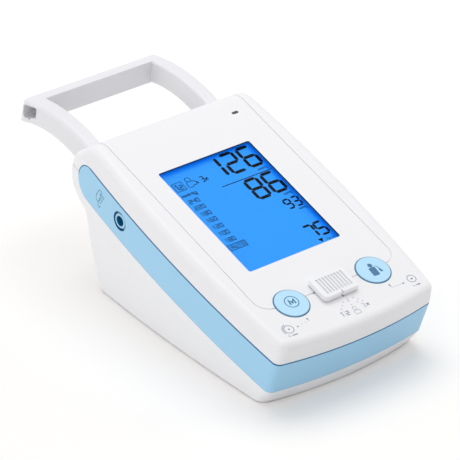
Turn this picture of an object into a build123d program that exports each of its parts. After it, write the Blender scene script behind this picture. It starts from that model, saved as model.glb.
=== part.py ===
"""Desktop blood pressure monitor with a sloping face, a carry handle and an air socket.

Every length is in millimetres.  Two frames are used while the pieces are made:
  desk frame  X to the right, Y to the back, Z up; Y = 0 below the front crest of the face
  face frame  u to the right, v up the slope of the face, w out of the face; w = 0 on the face
The finished pieces are moved so that the origin lies under the middle of the whole object.
"""

from build123d import *
import os
from math import cos, pi, radians, sin, sqrt, tan

# ---------------------------------------------------------------- overall form
FACE_SLOPE = 16.7           # tilt of the face against the desk, degrees
FOOT_PROUD = 0.6            # how far the rubber feet stand out of the housing floor
CREST_HEIGHT = 44.1         # front crest of the face above the housing floor
WALL = 2.4                  # moulded wall of both housings
PARTING_DEPTH = 13.3        # depth of the parting plane below the face
BELT_DEPTH = 37.0           # depth of the lower edge of the side band
CREST_RADIUS = 4.5          # rounding where the face turns into the walls
REAR_CREST_RADIUS = 14.0    # broader rounding where it turns into the rear slope
REAR_EDGE_RADIUS = 3.0      # rounding of the upright rear edges

# Plans of the housing at four levels, the first three parallel to the face:
# half width, foremost v (Y on the ground), bulge of the front, corner radius, widest v, side radius
CREST_PLAN = (61.0, 1.0, 5.0, 6.8, 105.0, 950.0)
PARTING_PLAN = (62.6, 0.9, 5.0, 4.9, 105.0, 950.0)
BELT_PLAN = (62.2, 2.4, 4.2, 4.9, 105.0, 950.0)
GROUND_PLAN = (57.3, 17.8, 6.8, 7.0, 78.0, 1300.0)

SLOPE_BACK_ANGLE = 53.1     # the rear slope turns down from the face by this angle
REAR_TIP_V = 203.3          # rearmost v of the rounded back
REAR_TIP_DEPTH = 26.0       # its depth below the face
BELLY_LENGTH = 19.3         # half axes of the ellipse under the rounded back
BELLY_DEPTH = 20.5
BELLY_BLEND = 6.0           # concave blend from the belly into the rear wall
REAR_WALL_Y = 188.3         # upright rear wall of the base, at its top
REAR_WALL_TOP = 46.0
REAR_WALL_SWEEP = 136.0     # radius with which it curves in towards the floor
SEAM_DEPTH = 0.5            # shadow line that runs on behind the band, half way up
SEAM_HEIGHT = 0.6

# ---------------------------------------------------------------- side band
BAND_END_V = 194.2          # tip of the rounded band ends
BAND_TOP_GAP = 0.2          # shadow gap under the upper housing
BAND_BACK_GAP = 0.1         # gap between the band and the wall behind it
BACKING_WALL = 1.8          # wall of the lower housing behind the band

# ---------------------------------------------------------------- groove round the face panel
GROOVE_HALF = 49.8
GROOVE_BOTTOM_V = 33.0
GROOVE_BOTTOM_RADIUS = 10.0
GROOVE_WIDTH = 0.6
GROOVE_DEPTH = 0.5

# ---------------------------------------------------------------- display
WINDOW_WIDTH = 67.0
WINDOW_LENGTH = 89.0
WINDOW_U = -3.0             # the window sits a little left of the middle
WINDOW_BOTTOM_V = 62.7
WINDOW_CORNER = 1.4
LENS_DEPTH = 1.0            # lens surface below the face
LENS_THICKNESS = 1.3
LENS_LEDGE = 1.6            # overlap of the lens behind the window edge
LENS_CLEARANCE = 0.1
BEZEL_THICKNESS = 0.9
BEZEL_MARGIN = 0.4          # the bezel's opening is this much wider than the window, each side
GLASS_THICKNESS = 2.6
BACKLIGHT_THICKNESS = 3.4
GLASS_OVERLAP = (2.3, 3.4)  # the glass reaches this far past the window, sideways and lengthwise
CONNECTOR_WIDTH = 1.8
CONNECTOR_LENGTH = 62.0
CONNECTOR_GAP = 0.6         # from the backlight to each connector strip
BEZEL_WALL = 1.2            # skirt of the bezel round glass and backlight
BEZEL_FIT = 0.15

# ---------------------------------------------------------------- indicator
INDICATOR_U = 38.1
INDICATOR_V = 175.1
INDICATOR_LENGTH = 4.6
INDICATOR_WIDTH = 2.0
INDICATOR_CLEARANCE = 0.08
INDICATOR_RECESS = 0.2
INDICATOR_FLANGE = 1.2      # flange behind the face, each side and its thickness
LED_SIZE = 3.0
LED_HEIGHT = 1.6
LED_GAP = 0.3

# ---------------------------------------------------------------- circuit board
BOARD_THICKNESS = 1.6
BOARD_HALF = 45.0
BOARD_BOTTOM_V = 13.0
BOARD_TOP_V = 181.0
POST_U = 41.0
POST_ROWS = (18.0, 53.5, 168.0)
POST_RADIUS = 2.9
BOARD_SCREW_RADIUS = 1.1
BOARD_SCREW_LENGTH = 6.0
BOARD_SCREW_HEAD_RADIUS = 2.3
BOARD_SCREW_HEAD = 1.5
SCREW_FIT = 0.1             # radial clearance of a screw in its pilot hole

# ---------------------------------------------------------------- push buttons
BUTTON_U = 30.0
BUTTON_V = 31.8
BUTTON_RADIUS = 10.4
BUTTON_GAP = 0.3
BUTTON_PROUD = 0.6
BUTTON_DOME = 0.35
BUTTON_TRAVEL = 0.8
BUTTON_REST_GAP = 0.06      # flange below the inside of the face, at rest
BUTTON_FLANGE = 1.4         # flange beyond the button's own radius
BUTTON_FLANGE_THICKNESS = 1.0
COLLAR_WALL = 1.3
COLLAR_GAP = 0.35
COLLAR_DEPTH = 3.4
STEM_RADIUS = 2.6
SWITCH_SIZE = 6.2
SWITCH_HEIGHT = 2.6
PLUNGER_RADIUS = 1.7
PLUNGER_PROUD = 0.9
PLUNGER_FIT = 0.06
PLUNGER_POCKET = 1.0        # free depth under the plunger at rest
PLUNGER_FLOOR = 0.6         # floor of the switch under its well

# ---------------------------------------------------------------- mode slider
SLIDER_HALF = 12.5
SLIDER_WIDTH = 17.4
SLIDER_HEIGHT = 3.7
SLIDER_GAP = 0.25           # gap between the slider cap and the face
SLIDER_RIBS = 9
SLIDER_RIB_GROOVE = 1.25
SLIDER_RIB_DEPTH = 0.55
SLIDER_TRAVEL = 3.5         # each way from the middle position
SLIDER_CORNER = 2.6
SLIDER_EDGE = 0.9
SLIDER_RIM = 2.8            # smooth rim in front of and behind the ribs
SLIDER_UNDERCUT = 0.5       # step back at the foot of the grip, in and up
NECK_LENGTH = 7.0
NECK_WIDTH = 6.0
SLOT_CLEARANCE = 0.3
FOOT_PLATE_LENGTH = 17.0
FOOT_PLATE_WIDTH = 11.0
FOOT_PLATE_THICKNESS = 1.0
SLIDE_SWITCH_LENGTH = 19.0
SLIDE_SWITCH_WIDTH = 7.4
SLIDE_SWITCH_HEIGHT = 4.2
LEVER_LENGTH = 2.6
LEVER_WIDTH = 2.2
LEVER_FIT = 0.15
LEVER_WELL = 1.6            # depth of the trough that the lever runs in
FORK_WALL = 1.4
FORK_SILL = 0.3
RETAINER_GAP = 0.1          # from the inside of the face to the retainer
POINTER_HALF = 1.0          # triangular notch that marks the position, at the front edge
POINTER_DEPTH = 2.2

# ---------------------------------------------------------------- carry handle
HANDLE_HALF = 49.6
HANDLE_GRIP_HALF = 39.4     # half width of the finger gap
LEG_TOP = ((191.5, 86.0), (228.0, 95.2), (262.4, 92.8))        # arc along the top of a leg
LEG_BOTTOM = ((191.0, 66.4), (229.0, 80.4), (266.4, 75.6))     # arc along its underside
BAR_INNER = ((250.4, 100.0), (253.6, 74.0))                    # line of the crossbar's inner face
BAR_TOP_RADIUS = 4.5
BAR_END_HOLE = ((259.8, 90.0), (246.9, 92.5), (248.5, 85.1), (261.5, 80.5))
BAR_END_HOLE_DEPTH = 8.4    # depth of the wide opening in each end of the crossbar
BAR_HOLE = (7.6, 7.4)       # narrower opening from there through the crossbar
BAR_HOLE_CENTRE = (257.2, 85.6)
BAR_HOLE_TILT = 10.0
BAR_HOLE_RADIUS = 1.4
HANDLE_TOP_EDGE = 3.2       # rounding of the outer edges along the top
HANDLE_BOTTOM_EDGE = 1.2    # ... along the underside
HANDLE_INNER_EDGE = 1.4
TENON_V = (176.0, 196.0)    # the narrow root that plugs into the housing, v and w
TENON_W = (-33.0, -19.0)
TENON_STEP = 1.6            # from each side of the leg in to the tenon
TENON_CLEARANCE = 0.15
TENON_SOCKET_WALL = 2.0
HANDLE_SCREW_V = 181.5
HANDLE_SCREW_W = -26.0
HANDLE_SCREW_LENGTH = 9.0

# ---------------------------------------------------------------- main screws
FRONT_SCREW = (48.6, 31.8)  # u, v of the front pair
REAR_SCREW = (24.0, 187.5)
BOSS_RADIUS = 4.2
SCREW_RADIUS = 1.5
SCREW_HEAD_RADIUS = 2.8
SCREW_HEAD_HEIGHT = 2.0
SCREW_BITE = 7.0            # length of thread in the upper housing
SCREW_SEAT = 8.0            # the head's seat below the parting plane
COUNTERBORE_GAP = 0.3
SCREW_SOCKET = 1.2          # half width of the hexagon in a screw head
SCREW_SOCKET_DEPTH = 1.2

# ---------------------------------------------------------------- tongue between the housings
TONGUE_HEIGHT = 1.6
TONGUE_THICKNESS = 1.0
TONGUE_CLEARANCE = 0.15
TONGUE_ROOT = 2.4           # how far the tongue reaches down behind the lower wall

# ---------------------------------------------------------------- feet
FOOT_RADIUS = 5.0
FOOT_POCKET = 1.0
FOOT_CLEARANCE = 0.1
FOOT_U = 43.0
FRONT_FOOT_Y = 28.0
REAR_FOOT_Y = 168.0

# ---------------------------------------------------------------- batteries (four C cells)
CELL_RADIUS = 13.0
CELL_LENGTH = 49.0
CELL_NUB = 1.2
CELL_NUB_RADIUS = 3.3
CELL_EDGE = 0.8
CELL_GAP = 0.6              # between neighbours, and from a cell to the bay
CELL_FLOOR_GAP = 1.0
BAY_FRONT_Y = 62.0
BAY_WALL = 2.0
SPRING_SPACE = 5.0
CONTACT_THICKNESS = 0.5
CONTACT_HALF = 8.0
SPRING_RADIUS = 3.6
SPRING_WIRE = 0.45
SPRING_PITCH = 1.5
DOOR_THICKNESS = 2.0
DOOR_GAP = 0.3
DOOR_LEDGE = 1.6            # overlap of the door under the bay walls
DOOR_RIM = 3.0              # thickened floor round the door, beyond its edge
DOOR_RIM_HEIGHT = 4.6
DOOR_TAB_X = 22.0
DOOR_TAB_WIDTH = 6.0
DOOR_TAB_REACH = 2.6
DOOR_TAB_THICKNESS = 1.4
DOOR_TAB_SWING = 5.0        # room that the tabs need round the hinge line
LATCH_WIDTH = 9.0
LATCH_HEIGHT = 3.6
LATCH_THICKNESS = 1.2
LATCH_SLIT = 0.8
LATCH_GAP = 0.4             # from the latch tongue to the wall that it catches on
GRIP_GROOVES = 4
GRIP_DEPTH = 0.5

# ---------------------------------------------------------------- air socket
SOCKET_V = 148.4
SOCKET_W = -24.4
SOCKET_BORE = 3.2
SOCKET_BORE_LENGTH = 9.0
SOCKET_RIM = 4.8
SOCKET_RECESS = 6.0         # radius of the round recess in the band
SOCKET_FACE_X = 61.2        # outer end of the socket, from the middle
SOCKET_FLANGE = 7.4
SOCKET_FLANGE_THICKNESS = 2.0
SOCKET_PAD_X = 55.0         # flat pad inside the lower housing, from the middle
SOCKET_PAD_RADIUS = 9.0
SOCKET_FIT = 0.1
SOCKET_CHAMFER = 0.4
SEAL_THICKNESS = 1.4
BARB_RADIUS = 2.0
BARB_LENGTH = 8.0
AIR_PASSAGE = 1.0

# ---------------------------------------------------------------- pump
PUMP_X = -41.5
PUMP_Z = 16.0
MOTOR_RADIUS = 10.5
MOTOR_FRONT_Y = 64.0
MOTOR_LENGTH = 30.0
MOTOR_WALL = 1.0
BUSHING_RADIUS = 3.0
BUSHING_LENGTH = 2.5
HEAD_SIZE = 22.0
HEAD_LENGTH = 24.0
HEAD_WALL = 2.5
SHAFT_RADIUS = 1.0
SHAFT_FIT = 0.05
SHAFT_END_GAP = 0.2
CAM_RADIUS = 4.0
CAM_OFFSET = 1.2
CAM_WIDTH = 6.0
ARMATURE_RADIUS = 7.5
ARMATURE_LENGTH = 18.0
ARMATURE_SLOTS = 5
ARMATURE_SLOT_WIDTH = 1.6
ARMATURE_SLOT_DEPTH = 3.5
CRADLE_HALF = 8.0
CRADLE_Y = (68.0, 114.0)
CRADLE_TOP = 9.0

# ---------------------------------------------------------------- air block, valve and hoses
BLOCK_X = (-50.2, -31.8)
BLOCK_Y = (134.0, 156.0)
BLOCK_TOP = 19.0
AIR_LINE_Z = 12.0
INLET_X = -35.4             # nipple that serves the socket
SENSOR_X = -40.2            # nipple that serves the pressure sensor
NIPPLE_LENGTH = 7.0
COIL_RADIUS = 8.0
COIL_LENGTH = 20.0
COIL_WALL = 1.2
VALVE_PLUNGER_RADIUS = 2.5
VALVE_PLUNGER_LENGTH = 14.0
VALVE_PLUNGER_FIT = 0.06
VALVE_TRAVEL = 1.2
VALVE_REST_GAP = 0.1
HOSE_RADIUS = 3.1
HOSE_FIT = 0.05
HOSE_GAP = 0.3              # from the end of a hose to the shoulder behind its nipple
HOSE_BEND = 9.0

# ---------------------------------------------------------------- pressure sensor, chips, buzzer
SENSOR_V = 136.8
SENSOR_SIZE = 9.0
SENSOR_HEIGHT = 4.0
SENSOR_BEND_W = -26.0
CHIPS = ((10.0, 110.0, 14.0, 14.0, 1.6), (-12.0, 80.0, 10.0, 6.0, 1.5), (22.0, 140.0, 8.0, 5.0, 1.5))
BUZZER = (24.0, 75.0, 7.0, 4.5)   # u, v, radius, height

# ---------------------------------------------------------------- mains socket
JACK_X = 42.0
JACK_Z = 20.0
JACK_BARREL = 3.1
JACK_PIN = 1.0
JACK_PIN_RECESS = 1.5
JACK_HALF_WIDTH = 4.5
JACK_HALF_HEIGHT = 5.5
JACK_LENGTH = 14.0
JACK_NOSE = 4.2
JACK_FIT = 0.1
JACK_PAD_Y = 180.0
JACK_FACE_Y = 185.0
JACK_BORE_LENGTH = 11.0

# ---------------------------------------------------------------- derived places
SLOPE = radians(FACE_SLOPE)
FLOOR_Z = FOOT_PROUD
CREST_Z = FLOOR_Z + CREST_HEIGHT
FLOOR_TOP = FLOOR_Z + WALL
FACE = Plane(origin=(0, 0, CREST_Z), x_dir=(1, 0, 0), z_dir=(0, -sin(SLOPE), cos(SLOPE)))
SIDE = Plane.YZ
OVERRUN = 30.0              # how far cutting tools run past the housing
NEAR = 0.02                 # two places closer than this count as one
LAP = 0.2                   # overlap of two bodies that are joined into one
CUT_HALF = PARTING_PLAN[0] + OVERRUN
PLAN_END_V = REAR_TIP_V + OVERRUN
WINDOW_V = WINDOW_BOTTOM_V + WINDOW_LENGTH / 2
LENS_BACK = LENS_DEPTH + LENS_THICKNESS
GLASS_FRONT = WALL + BEZEL_THICKNESS
GLASS_BACK = GLASS_FRONT + GLASS_THICKNESS
GLASS_SIZE = (WINDOW_WIDTH + 2 * GLASS_OVERLAP[0], WINDOW_LENGTH + 2 * GLASS_OVERLAP[1])
BOARD_FRONT = GLASS_BACK + BACKLIGHT_THICKNESS
BOARD_BACK = BOARD_FRONT + BOARD_THICKNESS
TONGUE_OUTER = WALL + TONGUE_CLEARANCE
BACKING_OUTER = TONGUE_OUTER                # the wall behind the band is flush with the tongue
BAND_THICKNESS = BACKING_OUTER - BAND_BACK_GAP
BACKING_INNER = BACKING_OUTER + BACKING_WALL
BUTTON_FLANGE_RADIUS = BUTTON_RADIUS + BUTTON_FLANGE
BUTTON_FLANGE_BACK = WALL + BUTTON_REST_GAP + BUTTON_FLANGE_THICKNESS
SWITCH_TOP = BOARD_FRONT - SWITCH_HEIGHT
PLUNGER_TOP = SWITCH_TOP - PLUNGER_PROUD
SLIDE_SWITCH_TOP = BOARD_FRONT - SLIDE_SWITCH_HEIGHT
RETAINER_FRONT = WALL + RETAINER_GAP
RETAINER_BACK = RETAINER_FRONT + FOOT_PLATE_THICKNESS
SLOT_LENGTH = NECK_LENGTH + 2 * (SLIDER_TRAVEL + SLOT_CLEARANCE)
SLOT_WIDTH = NECK_WIDTH + 2 * SLOT_CLEARANCE
CELL_X = CELL_RADIUS + CELL_GAP / 2
CELL_Z = FLOOR_Z + DOOR_THICKNESS + CELL_FLOOR_GAP + CELL_RADIUS
BAY_HALF = CELL_X + CELL_RADIUS + CELL_GAP
BAY_TOP = CELL_Z + CELL_RADIUS + CELL_GAP
BAY_LENGTH = 2 * (CELL_LENGTH + CELL_NUB) + SPRING_SPACE + 2 * CONTACT_THICKNESS + CELL_GAP
BAY_BACK_Y = BAY_FRONT_Y + BAY_LENGTH
RECESS_HALF = BAY_HALF + DOOR_LEDGE
RECESS_Y = (BAY_FRONT_Y - DOOR_LEDGE, BAY_BACK_Y + DOOR_LEDGE)
RECESS_TOP = FLOOR_Z + DOOR_THICKNESS + 0.1
HINGE_Y = RECESS_Y[0] + DOOR_GAP
TENON_HALF = (HANDLE_GRIP_HALF + TENON_STEP, HANDLE_HALF - TENON_STEP)
SOCKET_Y = SOCKET_V * cos(SLOPE) - SOCKET_W * sin(SLOPE)
SOCKET_Z = CREST_Z + SOCKET_V * sin(SLOPE) + SOCKET_W * cos(SLOPE)
INLET_NIPPLE = (INLET_X, SOCKET_Y)
SENSOR_NIPPLE = (SENSOR_X, SENSOR_V * cos(SLOPE) - SENSOR_BEND_W * sin(SLOPE))
MOTOR_BACK_Y = MOTOR_FRONT_Y + MOTOR_LENGTH
HEAD_BACK_Y = MOTOR_BACK_Y + HEAD_LENGTH
CAM_Y = MOTOR_BACK_Y + HEAD_LENGTH / 2
COIL_Y = BLOCK_Y[1]


def desk_point(v, w):
    """Y and Z in the desk frame of a point given by v and w in the face frame."""
    return (v * cos(SLOPE) - w * sin(SLOPE), CREST_Z + v * sin(SLOPE) + w * cos(SLOPE))


def in_face(shape):
    """Place a shape that was drawn in the face frame."""
    return FACE * shape


def disc(radius, bottom, top):
    """Upright cylinder between two heights."""
    return Pos(0, 0, bottom) * extrude(Circle(radius), top - bottom)


def plate(sketch, bottom, top):
    """A flat sketch made solid between two heights."""
    return Pos(0, 0, bottom) * extrude(sketch, top - bottom)


def block(x_range, y_range, z_range):
    """Rectangular block between two corners."""
    size = [high - low for low, high in (x_range, y_range, z_range)]
    middle = [(low + high) / 2 for low, high in (x_range, y_range, z_range)]
    return Pos(*middle) * Box(*size)


def rod(start, length, radius, direction):
    """Cylinder from a start point along a direction."""
    return extrude(Plane(origin=start, z_dir=direction) * Circle(radius), length)


def side_prism(profile, half):
    """Extrude a side view across the object, the same to both sides."""
    return extrude(SIDE * profile, half, both=True)


def mirrored(shape):
    """A shape together with its mirror image across the middle."""
    return shape + mirror(shape, Plane.YZ)


# ================================================================ housing envelope
def plan_outline(plan, inset):
    """Plan of the housing at one level: bowed front and sides, round front corners.

    It runs on past the back, where the side view cuts it off.
    """
    half_width, front, front_bow, corner, widest, sweep_radius = plan
    half = half_width - inset
    sweep = sweep_radius - inset

    def side_u(v):
        return half - sweep + sqrt(sweep**2 - (v - widest) ** 2)

    nose_v = front + inset
    corner_v = nose_v + front_bow
    corner_u = side_u(corner_v)
    back_u = side_u(PLAN_END_V)
    outline = make_face(
        [
            ThreePointArc((-corner_u, corner_v), (-half, widest), (-back_u, PLAN_END_V)),
            Line((-back_u, PLAN_END_V), (back_u, PLAN_END_V)),
            ThreePointArc((back_u, PLAN_END_V), (half, widest), (corner_u, corner_v)),
            ThreePointArc((corner_u, corner_v), (0, nose_v), (-corner_u, corner_v)),
        ]
    )
    front_corners = outline.vertices().sort_by(Axis.Y)[:2]
    return fillet(front_corners, corner - inset)


def side_view(inset):
    """Side view of the housing: flat face, rear slope, rounded back, belly and rear wall."""
    angle = radians(SLOPE_BACK_ANGLE)
    turn = pi / 2 - angle
    tip_v = REAR_TIP_V - inset
    round_radius = (REAR_TIP_DEPTH - PARTING_DEPTH) / cos(angle) - inset
    centre = (tip_v - round_radius, -REAR_TIP_DEPTH)
    slope_end = (centre[0] + round_radius * cos(turn), centre[1] + round_radius * sin(turn))
    round_mid = (centre[0] + round_radius * cos(turn / 2), centre[1] + round_radius * sin(turn / 2))
    slope_drop = -inset - slope_end[1]
    face_end = (slope_end[0] - slope_drop / tan(angle), -inset)
    belly_centre_v = REAR_TIP_V - BELLY_LENGTH
    belly_end = desk_point(belly_centre_v, -REAR_TIP_DEPTH - BELLY_DEPTH + inset)

    wall_top_y = REAR_WALL_Y - inset
    wall_radius = REAR_WALL_SWEEP - inset
    bottom = FLOOR_Z + inset

    def wall_y(z):
        return wall_top_y - wall_radius + sqrt(wall_radius**2 - (REAR_WALL_TOP - z) ** 2)

    wall_mid_z = (REAR_WALL_TOP + bottom) / 2
    front_top = desk_point(-OVERRUN, -inset)
    outline = make_face(
        [
            Line(front_top, desk_point(*face_end)),
            Line(desk_point(*face_end), desk_point(*slope_end)),
            ThreePointArc(desk_point(*slope_end), desk_point(*round_mid), desk_point(tip_v, -REAR_TIP_DEPTH)),
            EllipticalCenterArc(
                desk_point(belly_centre_v, -REAR_TIP_DEPTH),
                BELLY_LENGTH - inset,
                BELLY_DEPTH - inset,
                start_angle=270,
                arc_size=90,
                rotation=FACE_SLOPE,
            ),
            Line(belly_end, (wall_top_y, REAR_WALL_TOP)),
            ThreePointArc(
                (wall_top_y, REAR_WALL_TOP), (wall_y(wall_mid_z), wall_mid_z), (wall_y(bottom), bottom)
            ),
            Line((wall_y(bottom), bottom), (-OVERRUN, bottom)),
            Line((-OVERRUN, bottom), front_top),
        ]
    )
    belly_corner = outline.vertices().sort_by_distance((*belly_end, 0))[:1]
    outline = fillet(belly_corner, BELLY_BLEND + inset)
    crest = outline.vertices().sort_by_distance((*desk_point(*face_end), 0))[:1]
    return fillet(crest, REAR_CREST_RADIUS - inset)


def envelope(inset=0.0):
    """The housing's form above and below the parting plane, drawn in by inset all round."""
    face_level = in_face(plan_outline(CREST_PLAN, inset))
    parting_level = in_face(Pos(0, 0, -PARTING_DEPTH) * plan_outline(PARTING_PLAN, inset))
    belt_level = in_face(Pos(0, 0, -BELT_DEPTH) * plan_outline(BELT_PLAN, inset))
    ground_level = Pos(0, 0, FLOOR_Z) * plan_outline(GROUND_PLAN, inset)
    side = side_prism(side_view(inset), CUT_HALF)
    upper = loft([face_level, parting_level], ruled=True) & side
    middle = loft([parting_level, belt_level], ruled=True) & side
    base = loft([belt_level, ground_level], ruled=True) & side
    return upper, middle + base


def in_face_coordinates(edge):
    return FACE.to_local_coords(edge @ 0.5)


def round_crest(upper):
    """Round the front and side rims of the face and the edges that run on down the rear slope."""
    rim = []
    for edge in upper.edges():
        middle = in_face_coordinates(edge)
        at_side = abs(middle.X) > CREST_PLAN[0] / 2
        at_front = middle.Y < CREST_PLAN[0] / 2
        at_back = middle.Y > REAR_TIP_V - BELLY_LENGTH - REAR_CREST_RADIUS / 2
        on_face = middle.Z > -NEAR
        on_slope = at_back and middle.Z > -PARTING_DEPTH + NEAR
        if (on_face and (at_side or at_front)) or (on_slope and at_side):
            rim.append(edge)
    return fillet(rim, CREST_RADIUS)


def round_rear(lower):
    """Round the rear edges that run from the parting plane down to the floor."""
    edges = []
    for edge in lower.edges():
        middle = edge @ 0.5
        local = in_face_coordinates(edge)
        along_back = middle.Y > REAR_WALL_Y - 12 and abs(middle.X) > GROUND_PLAN[0] * 0.85
        if along_back and local.Z < -PARTING_DEPTH - 0.5 and middle.Z > FLOOR_Z + 1:
            edges.append(edge)
    return fillet(edges, REAR_EDGE_RADIUS)


def band_outline(grow=0.0, top_gap=0.0):
    """Side view of the band's recess: a strip whose rear end is a half circle."""
    top = -PARTING_DEPTH - top_gap + grow
    bottom = -BELT_DEPTH - grow
    radius = (BELT_DEPTH - PARTING_DEPTH) / 2 + grow
    centre_v = BAND_END_V - (BELT_DEPTH - PARTING_DEPTH) / 2
    centre_w = -(BELT_DEPTH + PARTING_DEPTH) / 2
    strip = make_face(
        Polyline((-OVERRUN, bottom), (centre_v, bottom), (centre_v, top), (-OVERRUN, top), close=True)
    )
    end = Pos(centre_v, centre_w) * Circle(radius)
    trim = make_face(
        Polyline(
            (-OVERRUN, bottom), (PLAN_END_V, bottom), (PLAN_END_V, top), (-OVERRUN, top), close=True
        )
    )
    return (strip + end) & trim


def band_prism(grow=0.0, top_gap=0.0):
    """The band outline run across the whole width, in the desk frame."""
    side_plane = Plane(origin=(0, 0, CREST_Z), x_dir=(0, cos(SLOPE), sin(SLOPE)), z_dir=(1, 0, 0))
    return extrude(side_plane * band_outline(grow, top_gap), CUT_HALF, both=True)


# ================================================================ handle
def handle_profile():
    """Side view of a handle leg with the crossbar at its end."""
    outline = make_face(
        [
            ThreePointArc(*LEG_TOP),
            Line(LEG_TOP[2], LEG_BOTTOM[2]),
            ThreePointArc(*LEG_BOTTOM),
            Line(LEG_BOTTOM[0], LEG_TOP[0]),
        ]
    )
    top = outline.vertices().sort_by_distance((*LEG_TOP[2], 0))[:1]
    return fillet(top, BAR_TOP_RADIUS)


def behind_bar_line():
    """Everything behind the inner face of the crossbar, in the side view."""
    (top_y, top_z), (bottom_y, bottom_z) = BAR_INNER
    back = LEG_BOTTOM[2][0] + OVERRUN
    return make_face(
        Polyline((top_y, top_z), (bottom_y, bottom_z), (back, bottom_z), (back, top_z), close=True)
    )


def edges_in_plane(shape, half):
    """Edges lying wholly in the two upright planes X = -half and X = +half."""
    found = []
    for edge in shape.edges():
        if all(abs(abs((edge @ t).X) - half) < 0.01 for t in (0, 0.5, 1)):
            found.append(edge)
    return found


def under_arc(edge):
    """True for the edges that belong to the underside of the handle."""
    middle = edge @ 0.5
    arc = ThreePointArc(*LEG_BOTTOM)
    return arc.distance_to(Vertex(middle.Y, middle.Z, 0)) < 0.05


def carry_handle():
    """Two legs and a hollow crossbar moulded in one."""
    profile = handle_profile()
    body = side_prism(profile, HANDLE_HALF)
    root_y = LEG_TOP[0][0] + 1
    rim = [e for e in edges_in_plane(body, HANDLE_HALF) if (e @ 0.5).Y > root_y and not under_arc(e)]
    body = fillet(rim, HANDLE_TOP_EDGE)
    low_rim = [e for e in body.edges() if (e @ 0.5).Y > root_y and under_arc(e)]
    body = fillet(low_rim, HANDLE_BOTTOM_EDGE)
    body -= side_prism(profile - behind_bar_line(), HANDLE_GRIP_HALF)
    inner = [e for e in edges_in_plane(body, HANDLE_GRIP_HALF) if e.geom_type == GeomType.CIRCLE]
    body = fillet(inner, HANDLE_INNER_EDGE)
    hole = Rot(0, 0, BAR_HOLE_TILT) * RectangleRounded(*BAR_HOLE, BAR_HOLE_RADIUS)
    body -= side_prism(Pos(*BAR_HOLE_CENTRE) * hole, CUT_HALF)
    end_hole = make_face(Polyline(*BAR_END_HOLE, close=True))
    end_hole = fillet(end_hole.vertices(), BAR_HOLE_RADIUS)
    for side in (-1, 1):
        floor_x = side * (HANDLE_HALF - BAR_END_HOLE_DEPTH)
        floor = Plane(origin=(floor_x, 0, 0), x_dir=(0, 1, 0), z_dir=(1, 0, 0))
        body -= extrude(floor * end_hole, side * (BAR_END_HOLE_DEPTH + 1))
    return body


def handle_tenons():
    """The narrow roots, drawn in the face frame."""
    low_v, high_v = TENON_V
    low_w, high_w = TENON_W
    tenon = block(TENON_HALF, (low_v, high_v), (low_w, high_w))
    return mirrored(in_face(tenon))


def handle_screw_holes(radius):
    """Cross holes for the two screws that hold the tenons."""
    y, z = desk_point(HANDLE_SCREW_V, HANDLE_SCREW_W)
    start = (TENON_HALF[0] - OVERRUN / 2, y, z)
    return mirrored(rod(start, OVERRUN / 2 + HANDLE_SCREW_LENGTH, radius, (1, 0, 0)))


def handle_piece():
    body = carry_handle() + handle_tenons()
    return body - handle_screw_holes(SCREW_RADIUS + SCREW_FIT)


def handle_screws():
    """Two cross screws, heads towards the middle of the object."""
    y, z = desk_point(HANDLE_SCREW_V, HANDLE_SCREW_W)
    seat = TENON_HALF[0] - TENON_SOCKET_WALL
    shank = rod((seat, y, z), HANDLE_SCREW_LENGTH, SCREW_RADIUS, (1, 0, 0))
    head = rod((seat - SCREW_HEAD_HEIGHT, y, z), SCREW_HEAD_HEIGHT, SCREW_HEAD_RADIUS, (1, 0, 0))
    drive = Plane(origin=(seat - SCREW_HEAD_HEIGHT, y, z), z_dir=(1, 0, 0))
    drive_hole = extrude(drive * RegularPolygon(SCREW_SOCKET, 6), SCREW_SOCKET_DEPTH)
    return mirrored(shank + head - drive_hole)


# ================================================================ housings
def at_both(place):
    """Locations in the face frame of a feature and its mirror image."""
    return [FACE * Pos(side * place[0], place[1], 0) for side in (-1, 1)]


def panel_outline(grow):
    """Outline of the face panel, which runs on over the rear crest."""
    half = GROOVE_HALF + grow
    low = GROOVE_BOTTOM_V - grow
    high = PLAN_END_V
    outline = make_face(Polyline((-half, low), (half, low), (half, high), (-half, high), close=True))
    bottom = outline.vertices().sort_by(Axis.Y)[:2]
    return fillet(bottom, GROOVE_BOTTOM_RADIUS + grow)


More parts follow.
